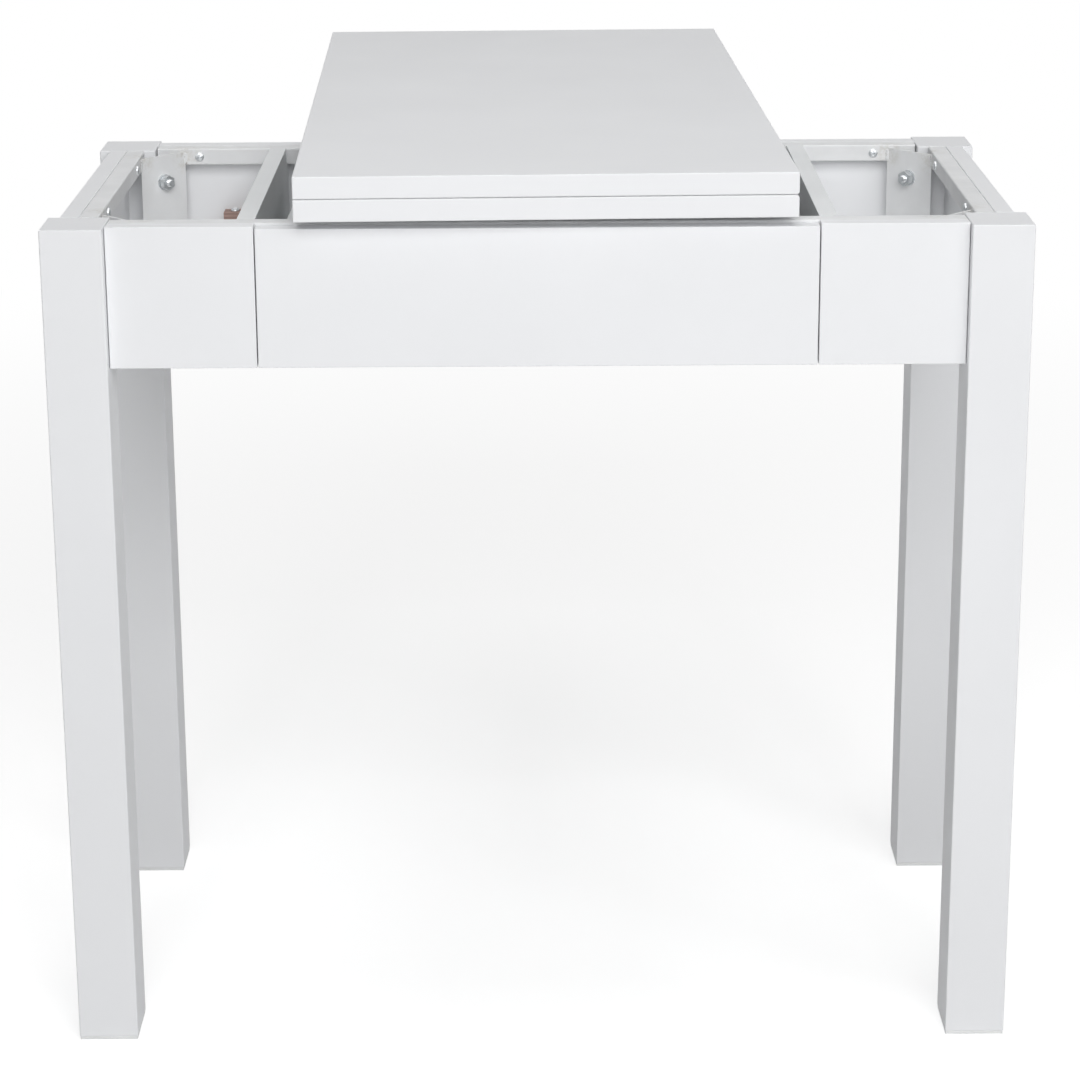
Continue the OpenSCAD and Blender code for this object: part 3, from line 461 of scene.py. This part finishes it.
def raw_hardwood(name, colour):
    """Reddish hardwood, sawn and left raw.

    It gives a matt brown with darker bands of growth along the block and short open pores."""
    material, tree, coords = start_material(name)
    # The grain runs along X, so everything is stretched there
    grain = add_node(tree, "ShaderNodeMapping", {"Vector": coords, "Scale": (0.12, 1.0, 1.0)})
    bands = add_node(tree, "ShaderNodeTexWave", {
        "Vector": grain, "Scale": bands_per_mm(3.1416), "Distortion": 3.5, "Detail": 2.0,
        "Detail Scale": 1.2}, wave_type="BANDS", bands_direction="Z").outputs["Fac"]
    growth = add_node(tree, "ShaderNodeMix", {
        "Factor": bands, "A": shade(colour, 1.12), "B": shade(colour, 0.72)}, data_type="RGBA")
    pores = add_node(tree, "ShaderNodeTexNoise", {
        "Vector": grain, "Scale": per_mm(0.7), "Detail": 2.0})
    speck = add_node(tree, "ShaderNodeMapRange", {
        "Value": pores, **NOISE_SPAN, "To Min": 0.0, "To Max": 0.5})
    brown = add_node(tree, "ShaderNodeMix", {
        "Factor": speck, "A": growth, "B": shade(colour, 0.5)}, data_type="RGBA")
    saw = add_node(tree, "ShaderNodeTexNoise", {"Vector": grain, "Scale": per_mm(9), "Detail": 3.0})
    rough = add_node(tree, "ShaderNodeMapRange", {
        "Value": saw, **NOISE_SPAN, "To Min": 0.62, "To Max": 0.8})
    relief = add_node(tree, "ShaderNodeBump", {
        "Height": pores, "Distance": 0.15 * MM, "Strength": 0.5})
    skin = add_node(tree, "ShaderNodeBsdfPrincipled", {
        "Base Color": brown, "Roughness": rough, "Normal": relief, "IOR": 1.5})
    add_node(tree, "ShaderNodeOutputMaterial", {"Surface": skin})
    return material


# Finishes of the metal and plastic

def powder_coat(name, colour, scorch, centre, welds):
    """Polyester powder, sprayed on steel and baked.

    It gives an even satin white with a fine orange peel of about 1.5 mm. It thins to a greyer tone
    here and there, and the scorched steel shows in warm, blotchy stains round the welds."""
    material, tree, coords = start_material(name)
    thin = add_node(tree, "ShaderNodeTexNoise", {
        "Vector": coords, "Scale": per_mm(38), "Detail": 4.0, "Roughness": 0.6})
    cover = add_node(tree, "ShaderNodeMapRange", {"Value": thin, **NOISE_SPAN})
    white = add_node(tree, "ShaderNodeMix", {
        "Factor": cover, "A": shade(colour, 1.01), "B": shade(colour, 0.93)}, data_type="RGBA")
    # The four corners fall on one once the signs of X and Y are dropped
    moved = add_node(tree, "ShaderNodeVectorMath", {0: coords, 1: centre}, operation="SUBTRACT")
    quarter = add_node(tree, "ShaderNodeVectorMath", {0: moved}, operation="ABSOLUTE")
    to_first, to_second = (
        add_node(tree, "ShaderNodeVectorMath", {0: quarter, 1: weld}, operation="DISTANCE")
        for weld in welds)
    away = add_node(tree, "ShaderNodeMath", {
        0: to_first.outputs["Value"], 1: to_second.outputs["Value"]}, operation="MINIMUM")
    heat = add_node(tree, "ShaderNodeMapRange", {
        "Value": away, "From Min": 5 * MM, "From Max": 17 * MM, "To Min": 1.0, "To Max": 0.0})
    blotch = add_node(tree, "ShaderNodeTexNoise", {
        "Vector": coords, "Scale": per_mm(5), "Detail": 3.0, "Roughness": 0.6})
    patch = add_node(tree, "ShaderNodeMapRange", {
        "Value": blotch, "From Min": 0.4, "From Max": 0.65, "To Min": 0.05, "To Max": 0.38})
    stain = add_node(tree, "ShaderNodeMath", {0: heat, 1: patch}, operation="MULTIPLY")
    scorched = add_node(tree, "ShaderNodeMix", {
        "Factor": stain, "A": white, "B": scorch}, data_type="RGBA")
    rough = add_node(tree, "ShaderNodeMapRange", {
        "Value": thin, **NOISE_SPAN, "To Min": 0.42, "To Max": 0.54})
    peel = add_node(tree, "ShaderNodeTexNoise", {
        "Vector": coords, "Scale": per_mm(1.5), "Detail": 2.0})
    relief = add_node(tree, "ShaderNodeBump", {
        "Height": peel, "Distance": 0.04 * MM, "Strength": 0.5})
    skin = add_node(tree, "ShaderNodeBsdfPrincipled", {
        "Base Color": scorched, "Roughness": rough, "Normal": relief,
        "IOR": 1.5, "Specular IOR Level": 0.35})
    add_node(tree, "ShaderNodeOutputMaterial", {"Surface": skin})
    return material


def scorched_coat(name, colour, slag):
    """The same powder over a weld bead.

    Slag and scorched steel show through it in brownish grey specks."""
    material, tree, coords = start_material(name)
    specks = add_node(tree, "ShaderNodeTexNoise", {
        "Vector": coords, "Scale": per_mm(2.2), "Detail": 3.0, "Roughness": 0.65})
    burnt = add_node(tree, "ShaderNodeMapRange", {
        "Value": specks, "From Min": 0.52, "From Max": 0.68, "To Min": 0.0, "To Max": 0.85})
    tone = add_node(tree, "ShaderNodeMix", {
        "Factor": burnt, "A": shade(colour, 0.95), "B": slag}, data_type="RGBA")
    rough = add_node(tree, "ShaderNodeMapRange", {
        "Value": specks, **NOISE_SPAN, "To Min": 0.35, "To Max": 0.6})
    relief = add_node(tree, "ShaderNodeBump", {
        "Height": specks, "Distance": 0.12 * MM, "Strength": 0.6})
    skin = add_node(tree, "ShaderNodeBsdfPrincipled", {
        "Base Color": tone, "Roughness": rough, "Normal": relief, "IOR": 1.5})
    add_node(tree, "ShaderNodeOutputMaterial", {"Surface": skin})
    return material


def bright_zinc(name, colour):
    """Steel, electroplated with zinc and clear passivated.

    It gives a silvery metal with a cloudy, slightly bluish shine and fine scratches."""
    material, tree, coords = start_material(name)
    cloud = add_node(tree, "ShaderNodeTexNoise", {
        "Vector": coords, "Scale": per_mm(2.5), "Detail": 3.0})
    plating = add_node(tree, "ShaderNodeMapRange", {"Value": cloud, **NOISE_SPAN})
    silver = add_node(tree, "ShaderNodeMix", {
        "Factor": plating, "A": shade(colour, 1.06), "B": shade(colour, 0.84)}, data_type="RGBA")
    rough = add_node(tree, "ShaderNodeMapRange", {
        "Value": cloud, **NOISE_SPAN, "To Min": 0.32, "To Max": 0.48})
    upright = add_node(tree, "ShaderNodeMapping", {"Vector": coords, "Scale": (1.0, 1.0, 0.12)})
    scratch = add_node(tree, "ShaderNodeTexNoise", {
        "Vector": upright, "Scale": per_mm(0.3), "Detail": 2.0})
    relief = add_node(tree, "ShaderNodeBump", {
        "Height": scratch, "Distance": 0.01 * MM, "Strength": 0.4})
    skin = add_node(tree, "ShaderNodeBsdfPrincipled", {
        "Base Color": silver, "Metallic": 1.0, "Roughness": rough, "Normal": relief})
    add_node(tree, "ShaderNodeOutputMaterial", {"Surface": skin})
    return material


def turned_steel(name, colour):
    """Free-cutting steel, turned on a lathe and oiled.

    It gives a darker metal with fine tool marks round it, about 0.25 mm apart, which are drawn
    0.5 mm apart so that they show."""
    material, tree, coords = start_material(name)
    oil = add_node(tree, "ShaderNodeTexNoise", {
        "Vector": coords, "Scale": per_mm(6), "Detail": 3.0})
    film = add_node(tree, "ShaderNodeMapRange", {"Value": oil, **NOISE_SPAN})
    grey = add_node(tree, "ShaderNodeMix", {
        "Factor": film, "A": shade(colour, 1.05), "B": shade(colour, 0.82)}, data_type="RGBA")
    rough = add_node(tree, "ShaderNodeMapRange", {
        "Value": oil, **NOISE_SPAN, "To Min": 0.2, "To Max": 0.36})
    marks = add_node(tree, "ShaderNodeTexWave", {
        "Vector": coords, "Scale": bands_per_mm(0.5), "Distortion": 1.0,
        "Detail": 1.0}, wave_type="BANDS", bands_direction="Z").outputs["Fac"]
    relief = add_node(tree, "ShaderNodeBump", {
        "Height": marks, "Distance": 0.01 * MM, "Strength": 0.35})
    skin = add_node(tree, "ShaderNodeBsdfPrincipled", {
        "Base Color": grey, "Metallic": 1.0, "Roughness": rough, "Normal": relief})
    add_node(tree, "ShaderNodeOutputMaterial", {"Surface": skin})
    return material


def moulded_nylon(name, colour):
    """Nylon 6, injection moulded in a spark-eroded tool.

    It gives a milky, slightly translucent white with a fine matt grain of about 0.4 mm, which is
    drawn 0.8 mm wide so that it shows."""
    material, tree, coords = start_material(name)
    milk = add_node(tree, "ShaderNodeTexNoise", {
        "Vector": coords, "Scale": per_mm(14), "Detail": 2.0})
    flow = add_node(tree, "ShaderNodeMapRange", {"Value": milk, **NOISE_SPAN})
    white = add_node(tree, "ShaderNodeMix", {
        "Factor": flow, "A": shade(colour, 1.02), "B": shade(colour, 0.95)}, data_type="RGBA")
    grain = add_node(tree, "ShaderNodeTexNoise", {
        "Vector": coords, "Scale": per_mm(0.8), "Detail": 2.0})
    rough = add_node(tree, "ShaderNodeMapRange", {
        "Value": grain, **NOISE_SPAN, "To Min": 0.4, "To Max": 0.55})
    relief = add_node(tree, "ShaderNodeBump", {
        "Height": grain, "Distance": 0.02 * MM, "Strength": 0.4})
    skin = add_node(tree, "ShaderNodeBsdfPrincipled", {
        "Base Color": white, "Roughness": rough, "Normal": relief, "IOR": 1.53,
        "Subsurface Weight": 0.15, "Subsurface Radius": (0.6, 0.6, 0.5),
        "Subsurface Scale": 1.5 * MM})
    add_node(tree, "ShaderNodeOutputMaterial", {"Surface": skin})
    return material


# Shapes of the details

def cross_cut(x, y, details):
    """Depth of the cross recess at a point of a screw's head."""
    # Its walls slope over this width, and its arms rise over their outer 45 percent
    wall = 0.3 * MM
    steep = 2.2 / details.recess_reach
    deepest = 0.0
    for a, b in ((abs(x), abs(y)), (abs(y), abs(x))):
        across = min(1.0, max(0.0, (details.recess_width / 2 - b) / wall + 0.5))
        out = min(1.0, max(0.0, (details.recess_reach - a) * steep))
        deepest = max(deepest, across * out)
    return details.recess_depth * deepest


def head_rings(head_r, details, dome):
    """Rings over a screw's head from its middle to its rim, with the cross recess pressed in.

    They lie close together as far as a little past the recess."""
    fine = details.recess_reach * 1.08
    inner = np.linspace(0, fine, 19)[1:]
    outer = np.linspace(fine, head_r, 6)[1:]
    rings = [[(0.0, 0.0, dome(0) - details.recess_depth)]]
    for r in np.concatenate([inner, outer]):
        ring = circle(r, 0, SCREW_POINTS)
        rings.append([(x, y, dome(r) - cross_cut(x, y, details)) for x, y, _ in ring])
    return rings


def pan_head_screw(builder, place, length, head_r, shank_r, head_h, details):
    """A screw with a domed head: the head's top is at 0 and the shank runs down."""
    ball = head_r * 1.5
    soft = 0.25 * MM

    def dome(r):
        return math.sqrt(ball * ball - r * r) - ball

    rim = dome(head_r)
    rings = head_rings(head_r - soft, details, dome)
    rings += [circle(r, z, SCREW_POINTS) for r, z in (
        (head_r - soft * 0.3, rim - soft * 0.3), (head_r, rim - soft),
        (head_r, -head_h + soft * 0.4), (head_r - soft * 0.4, -head_h),
        (shank_r, -head_h), (shank_r, -length + shank_r * 0.5))]
    rings += [[(0.0, 0.0, -length)]]
    builder.add_rings(rings, place)


def sunk_head_screw(builder, place, length, head_r, shank_r, head_h, details):
    """A screw with a countersunk head: the head's flat top is at 0 and the shank runs down."""
    lip = 0.2 * MM
    rings = head_rings(head_r - lip, details, lambda r: 0.0)
    rings += [circle(r, z, SCREW_POINTS) for r, z in (
        (head_r, -lip * 0.4), (shank_r, -head_h), (shank_r, -length + shank_r * 0.5))]
    rings += [[(0.0, 0.0, -length)]]
    builder.add_rings(rings, place)


def threaded_bolt(builder, place, length, radius, details):
    """A bolt whose free end, at 0, has a thread. The rest runs down plain."""
    pitch, depth = details.thread_pitch, details.thread_depth
    # Points round the bolt, and rings for each turn of the thread
    count, steps = 28, 7
    turns = int(details.thread_length / pitch)
    # The thread grows from nothing over its first turns and fades over its last
    fade = 1.5 * steps
    rings = [[(0.0, 0.0, 0.0)], circle(radius - depth, 0.0, count)]
    for i in range(1, turns * steps):
        z = -i * pitch / steps
        grow = min(1.0, i / fade, (turns * steps - i) / fade)
        ring = []
        for k, (x, y, _) in enumerate(circle(1.0, 0, count)):
            f = (i / steps - k / count) % 1.0
            r = radius - depth + depth * grow * (1 - abs(2 * f - 1))
            ring.append((x * r, y * r, z))
        rings.append(ring)
    end = -turns * pitch
    rings += [circle(radius - depth, end, count), circle(radius, end - depth, count)]
    rings += [circle(radius, -length, count), [(0.0, 0.0, -length)]]
    builder.add_rings(rings, place)


def ripple_at(turns):
    """The share of a bead's full size at so many half waves along it."""
    return 0.82 + 0.18 * abs(math.sin(math.pi * turns))


def bead_arc(steps):
    """The bead's hollow face, as shares of its size along the two sides of its corner."""
    angles = [math.pi / 2 * k / steps for k in range(steps + 1)]
    return [(math.cos(a) ** 1.5, math.sin(a) ** 1.5, math.sin(2 * a)) for a in angles]


def weld_bead(builder, start, end, side_a, side_b, size, ripple):
    """A rippled bead along a corner from start to end, as wide as its size on both sides of it."""
    start, end = Vector(start), Vector(end)
    run = (end - start).length
    way = (end - start) / run
    count = max(6, int(run / ripple * RIPPLE_RINGS))
    tip = way * 0.1 * MM
    rings = [[tuple(start - tip)]]
    for i in range(count + 1):
        t = i / count
        # It starts and ends at about a third of its size, and is full an eighth of its run further
        ends = min(1.0, 5 * t + 0.35, 5 * (1 - t) + 0.35)
        here = start + way * run * t
        s = size * ends * ripple_at(t * run / ripple)
        ring = [here]
        for a, b, mid in bead_arc(8):
            ring.append(here + (side_a * a + side_b * b) * s * (0.86 + 0.14 * mid))
        rings.append([tuple(p) for p in ring])
    rings.append([tuple(end + tip)])
    builder.add_rings(rings)


def weld_ring(builder, centre, radius, size, ripple):
    """A rippled bead round an upright tube, in the corner under a sheet."""
    count = int(2 * math.pi * radius / ripple * RIPPLE_RINGS)
    centre, down = Vector(centre), Vector((0, 0, -1))
    verts, faces = [], []
    for i in range(count):
        turn = 2 * math.pi * i / count
        out = Vector((math.cos(turn), math.sin(turn), 0))
        s = size * ripple_at(i / RIPPLE_RINGS)
        verts.append(tuple(centre + out * radius))
        verts += [tuple(centre + out * (radius + s * a) + down * s * b) for a, b, _ in bead_arc(6)]
    row = len(verts) // count
    for i in range(count):
        j = (i + 1) % count
        for k in range(row):
            m = (k + 1) % row
            faces.append((i * row + k, j * row + k, j * row + m, i * row + m))
    builder.add(verts, faces)


# Operators

class TABLE_OT_lacquered_boards(bpy.types.Operator):
    """Lacquers the legs, the top, the aprons and the front"""
    bl_idname = "kitchen_table.lacquered_boards"
    bl_label = "Lacquered boards"

    def execute(self, context):
        finishes = context.scene.table_finishes
        dress(nodes_with("board_lacquer"), satin_lacquer(
            "white_satin_lacquer_sprayed", tuple(finishes.lacquer), peel_mm=3.5, sheen=0.46))
        dress(nodes_with("leg_lacquer"), satin_lacquer(
            "white_leg_lacquer_sprayed", tuple(finishes.leg_lacquer), peel_mm=2.5, sheen=0.48))
        return {"FINISHED"}


class TABLE_OT_inner_boards(bpy.types.Operator):
    """Gives the partitions and the drawer box their foil, and the fixing block its raw wood"""
    bl_idname = "kitchen_table.inner_boards"
    bl_label = "Inner boards"

    def execute(self, context):
        finishes = context.scene.table_finishes
        dress(nodes_with("board_foil"), satin_foil("white_foil_embossed", tuple(finishes.foil)))
        dress(nodes_with("raw_wood"), raw_hardwood("raw_hardwood_sawn", tuple(finishes.wood)))
        return {"FINISHED"}


class TABLE_OT_steelwork(bpy.types.Operator):
    """Coats the steel rails, corner plates, pivot beam and runners, and adds the weld beads"""
    bl_idname = "kitchen_table.steelwork"
    bl_label = "Steelwork and welds"

    def execute(self, context):
        finishes, details = context.scene.table_finishes, context.scene.table_details
        colour = tuple(finishes.powder)
        # The welds of one corner plate, measured from the middle of the frame
        centre = (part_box("leg_front_left")[0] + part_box("leg_rear_right")[1]) / 2
        centre.z = sum(v.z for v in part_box("rail_right")) / 2
        low, high = (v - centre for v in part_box("corner_plate_rear_right"))
        welds = ((high.x, low.y, 0.0), (low.x, high.y, 0.0))
        dress(nodes_with("powder_coat"), powder_coat(
            "white_powder_coat_baked", colour, tuple(finishes.scorch), centre, welds))
        scorched = scorched_coat("white_powder_coat_on_weld", colour, tuple(finishes.slag))
        size, ripple = details.weld_size, details.weld_ripple
        # Each bead ends this far inside the edges that it joins
        inset = Vector((0, 0, 0.5 * MM))
        rail_low = Vector((0, 0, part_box("rail_right")[0].z))
        beads = Builder()
        for depth in ("front", "rear"):
            for side in ("left", "right"):
                low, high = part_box("corner_plate_%s_%s" % (depth, side))
                sx = 1 if side == "right" else -1
                sy = 1 if depth == "rear" else -1
                # The plate's ends, on the side rail and on the front or rear rail
                outer = Vector((high.x if sx > 0 else low.x, low.y if sy > 0 else high.y, 0))
                inner = Vector((low.x if sx > 0 else high.x, high.y if sy > 0 else low.y, 0))
                to_inner = (inner - outer).normalized()
                top = Vector((0, 0, high.z))
                for foot, along_plate, along_rail in (
                        (outer, to_inner, Vector((0, -sy, 0))),
                        (inner, -to_inner, Vector((-sx, 0, 0)))):
                    weld_bead(beads, foot + rail_low + inset, foot + top - inset,
                              along_plate, along_rail, size, ripple)
        low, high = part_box("pivot_beam")
        for x, sx in ((low.x, -1), (high.x, 1)):
            for y, sy in ((low.y, 1), (high.y, -1)):
                weld_bead(beads, Vector((x, y, low.z)) + inset, Vector((x, y, high.z)) - inset,
                          Vector((sx, 0, 0)), Vector((0, sy, 0)), size, ripple)
        # A smaller bead holds the bush under the channel's sheet
        bush_low, bush_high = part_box("pivot_bush")
        centre = (bush_low + bush_high) / 2
        centre.z = high.z - 2 * MM
        weld_ring(beads, centre, (bush_high.x - bush_low.x) / 2, size * 0.7, ripple)
        make_piece("weld_beads", beads.verts, beads.faces, scorched, "frame",
                   sharp_degrees=60)
        return {"FINISHED"}


class TABLE_OT_fasteners(bpy.types.Operator):
    """Plates the fittings and makes the screws and bolts with their cross recesses and threads"""
    bl_idname = "kitchen_table.fasteners"
    bl_label = "Fasteners"

    def execute(self, context):
        scene = context.scene
        details = scene.table_details
        zinc = bright_zinc("zinc_plated_steel_passivated", tuple(scene.table_finishes.zinc))
        dress(nodes_with("zinc_plate"), zinc)
        # Each node of screws, with its body and the height of its pan heads
        rows = (
            ("rail_screws", "frame", details.pan_height),
            ("block_screws", "frame", details.pan_height),
            ("runner_screws", "frame", details.low_height),
            ("drawer_screws", "drawer", details.pan_height),
            ("lower_leaf_screws", "swivel_top", details.pan_height),
            ("upper_leaf_screws", "flap", details.pan_height),
        )
        # A head with a smaller radius than this is countersunk
        widest_sunk = 3.8 * MM
        for node, body, head_h in rows:
            builder = Builder()
            for place, length, head_r, shank_r in shafts_of(node):
                if head_r < widest_sunk:
                    sunk_head_screw(
                        builder, place, length, head_r, shank_r, details.sink_height, details)
                else:
                    pan_head_screw(builder, place, length, head_r, shank_r, head_h, details)
            piece = make_piece(
                node + "_detailed", builder.verts, builder.faces, zinc, body)
            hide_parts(node)
        # A screw stands in the top of the fixing block, where the photograph shows a pale head
        low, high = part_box("fixing_block")
        builder = Builder()
        place = Matrix.Translation((
            low.x + details.block_screw_in, (low.y + high.y) / 2, high.z + details.pan_height))
        _, length, head_r, shank_r = shafts_of("block_screws")[0]
        pan_head_screw(builder, place, length, head_r, shank_r, details.pan_height, details)
        make_piece("block_top_screw", builder.verts, builder.faces, zinc, "frame")
        builder = Builder()
        for place, length, head_r, shank_r in shafts_of("hanger_bolts"):
            # A plain cylinder has no head, so its free end is the one nearer to the frame's middle
            free = place.translation
            other = place @ Vector((0, 0, -length))
            low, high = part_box("hanger_bolts")
            middle = Vector(((low.x + high.x) / 2, (low.y + high.y) / 2, free.z))
            if (free - middle).length > (other - middle).length:
                over = Matrix.Rotation(math.pi, 4, "X")
                place = place @ Matrix.Translation((0, 0, -length)) @ over
            threaded_bolt(builder, place, length, head_r, details)
        piece = make_piece(
            "hanger_bolts_threaded", builder.verts, builder.faces, zinc, "frame",
            sharp_degrees=60)
        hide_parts("hanger_bolts")
        return {"FINISHED"}


class TABLE_OT_pivot_and_hinges(bpy.types.Operator):
    """Gives the pivot stud, bush, stop, hinge pins and links their turned steel"""
    bl_idname = "kitchen_table.pivot_and_hinges"
    bl_label = "Pivot and hinges"

    def execute(self, context):
        dress(nodes_with("bright_steel"),
              turned_steel("free_cutting_steel_turned", tuple(context.scene.table_finishes.steel)))
        return {"FINISHED"}


class TABLE_OT_plastic_parts(bpy.types.Operator):
    """Gives the feet, glides, rollers and thrust washer their nylon"""
    bl_idname = "kitchen_table.plastic_parts"
    bl_label = "Plastic parts"

    def execute(self, context):
        dress(nodes_with("nylon"),
              moulded_nylon("nylon_moulded", tuple(context.scene.table_finishes.nylon)))
        return {"FINISHED"}


class TABLE_OT_stage(bpy.types.Operator):
    """Sets up the floor, the surround, the lamps and the camera"""
    bl_idname = "kitchen_table.stage"
    bl_label = "Stage"

    def execute(self, context):
        scene = context.scene
        stage = scene.table_stage
        self.floor(scene, stage)
        self.surround(scene, stage)
        self.lamp(scene, "front_lamp", stage.front_power, stage.front_place)
        self.lamp(scene, "side_lamp", stage.side_power, stage.side_place)
        self.lamp(scene, "top_lamp", stage.top_power, stage.top_place)
        self.camera(scene, stage)
        scene.view_settings.view_transform = "Standard"
        return {"FINISHED"}

    def white_ray(self, tree):
        """1 for the rays that the camera, gloss and glass send, so that they see plain white."""
        light = add_node(tree, "ShaderNodeLightPath")
        camera, gloss, glass = (
            light.outputs["Is %s Ray" % kind] for kind in ("Camera", "Glossy", "Transmission"))
        seen = add_node(tree, "ShaderNodeMath", {0: camera, 1: gloss}, operation="MAXIMUM")
        return add_node(tree, "ShaderNodeMath", {0: seen, 1: glass}, operation="MAXIMUM")

    def floor(self, scene, stage):
        """A plain pale floor that keeps the table's shadow."""
        half = stage.floor_size / 2
        mesh = bpy.data.meshes.new("floor")
        corners = [(-half, -half, 0), (half, -half, 0), (half, half, 0), (-half, half, 0)]
        mesh.from_pydata(corners, [], [(0, 1, 2, 3)])
        floor = bpy.data.objects.new("floor", mesh)
        scene.collection.objects.link(floor)
        material = bpy.data.materials.new("studio_floor_painted")
        material.use_nodes = True
        tree = material.node_tree
        tree.nodes.clear()
        seen = self.white_ray(tree)
        # The lamps light the floor less than the table, so these rays see a brighter paint
        tone = add_node(tree, "ShaderNodeMath", {
            0: seen, 1: stage.floor_gain, 2: stage.floor_paint}, operation="MULTIPLY_ADD")
        paint = add_node(tree, "ShaderNodeBsdfDiffuse", {"Color": tone})
        white = add_node(tree, "ShaderNodeEmission", {"Color": (1, 1, 1, 1), "Strength": 1.0})
        # From the table's feet outwards, the floor goes over to plain white
        feet = 0.5
        place = add_node(tree, "ShaderNodeTexCoord").outputs["Object"]
        away = add_node(tree, "ShaderNodeVectorMath", {0: place}, operation="LENGTH")
        plain = add_node(tree, "ShaderNodeMapRange", {
            "Value": away.outputs["Value"], "From Min": feet, "From Max": stage.shadow_reach,
            "To Min": stage.floor_white, "To Max": 1.0}, interpolation_type="SMOOTHSTEP")
        share = add_node(tree, "ShaderNodeMath", {0: seen, 1: plain}, operation="MULTIPLY")
        mix = add_node(tree, "ShaderNodeMixShader", {0: share, 1: paint, 2: white})
        add_node(tree, "ShaderNodeOutputMaterial", {"Surface": mix})
        mesh.materials.append(material)

    def surround(self, scene, stage):
        """Soft light from all round, which the camera sees as white."""
        world = bpy.data.worlds.new("studio")
        world.use_nodes = True
        scene.world = world
        tree = world.node_tree
        tree.nodes.clear()
        soft = add_node(tree, "ShaderNodeBackground", {
            "Color": (1, 1, 1, 1), "Strength": stage.surround})
        white = add_node(tree, "ShaderNodeBackground", {"Color": (1, 1, 1, 1), "Strength": 1.0})
        mix = add_node(tree, "ShaderNodeMixShader", {0: self.white_ray(tree), 1: soft, 2: white})
        add_node(tree, "ShaderNodeOutputWorld", {"Surface": mix})

    def lamp(self, scene, name, power, place):
        """A large square lamp that faces the table."""
        data = bpy.data.lights.new(name, "AREA")
        data.shape = "SQUARE"
        data.size = scene.table_stage.lamp_size
        data.energy = power
        lamp = bpy.data.objects.new(name, data)
        lamp.location = place
        middle = Vector((0.0, 0.0, CAD_BOX[1][2] * scene.table_stage.aim))
        lamp.rotation_euler = (middle - Vector(place)).to_track_quat("-Z", "Y").to_euler()
        scene.collection.objects.link(lamp)

    def camera(self, scene, stage):
        """The camera at the photograph's angle, worked out for a square frame."""
        data = bpy.data.cameras.new("camera")
        data.sensor_width = 36.0
        data.lens = stage.lens
        data.shift_y = stage.shift_y
        data.clip_end = 200.0
        camera = bpy.data.objects.new("camera", data)
        yaw = Matrix.Rotation(stage.yaw, 4, "Z")
        pitch = Matrix.Rotation(math.pi / 2 + stage.pitch, 4, "X")
        roll = Matrix.Rotation(-stage.roll, 4, "Z")
        camera.matrix_world = Matrix.Translation(stage.eye) @ yaw @ pitch @ roll
        scene.collection.objects.link(camera)
        scene.camera = camera


class TABLE_PT_panel(bpy.types.Panel):
    """The table's steps and settings"""
    bl_idname = "VIEW3D_PT_kitchen_table"
    bl_label = "Kitchen table"
    bl_space_type = "VIEW_3D"
    bl_region_type = "UI"
    bl_category = "Kitchen table"

    def draw(self, context):
        layout, scene = self.layout, context.scene
        for step in STEPS:
            layout.operator(step.bl_idname)
        for group in (scene.table_finishes, scene.table_details, scene.table_stage):
            box = layout.box()
            for name in group.__annotations__:
                box.prop(group, name)


STEPS = (
    TABLE_OT_lacquered_boards,
    TABLE_OT_inner_boards,
    TABLE_OT_steelwork,
    TABLE_OT_fasteners,
    TABLE_OT_pivot_and_hinges,
    TABLE_OT_plastic_parts,
    TABLE_OT_stage,
)
GROUPS = (TableFinishes, TableDetails, TableStage)
CLASSES = GROUPS + STEPS + (TABLE_PT_panel,)


def register():
    """Registers the classes and puts the settings on the scene."""
    for cls in CLASSES:
        bpy.utils.register_class(cls)
    bpy.types.Scene.table_finishes = PointerProperty(type=TableFinishes)
    bpy.types.Scene.table_details = PointerProperty(type=TableDetails)
    bpy.types.Scene.table_stage = PointerProperty(type=TableStage)


def unregister():
    """Takes them off again."""
    del bpy.types.Scene.table_stage
    del bpy.types.Scene.table_details
    del bpy.types.Scene.table_finishes
    for cls in reversed(CLASSES):
        bpy.utils.unregister_class(cls)


def main():
    """Builds everything."""
    register()
    for step in STEPS:
        group, name = step.bl_idname.split(".")
        getattr(getattr(bpy.ops, group), name)()
    bpy.context.view_layer.update()


if __name__ == "__main__":
    main()
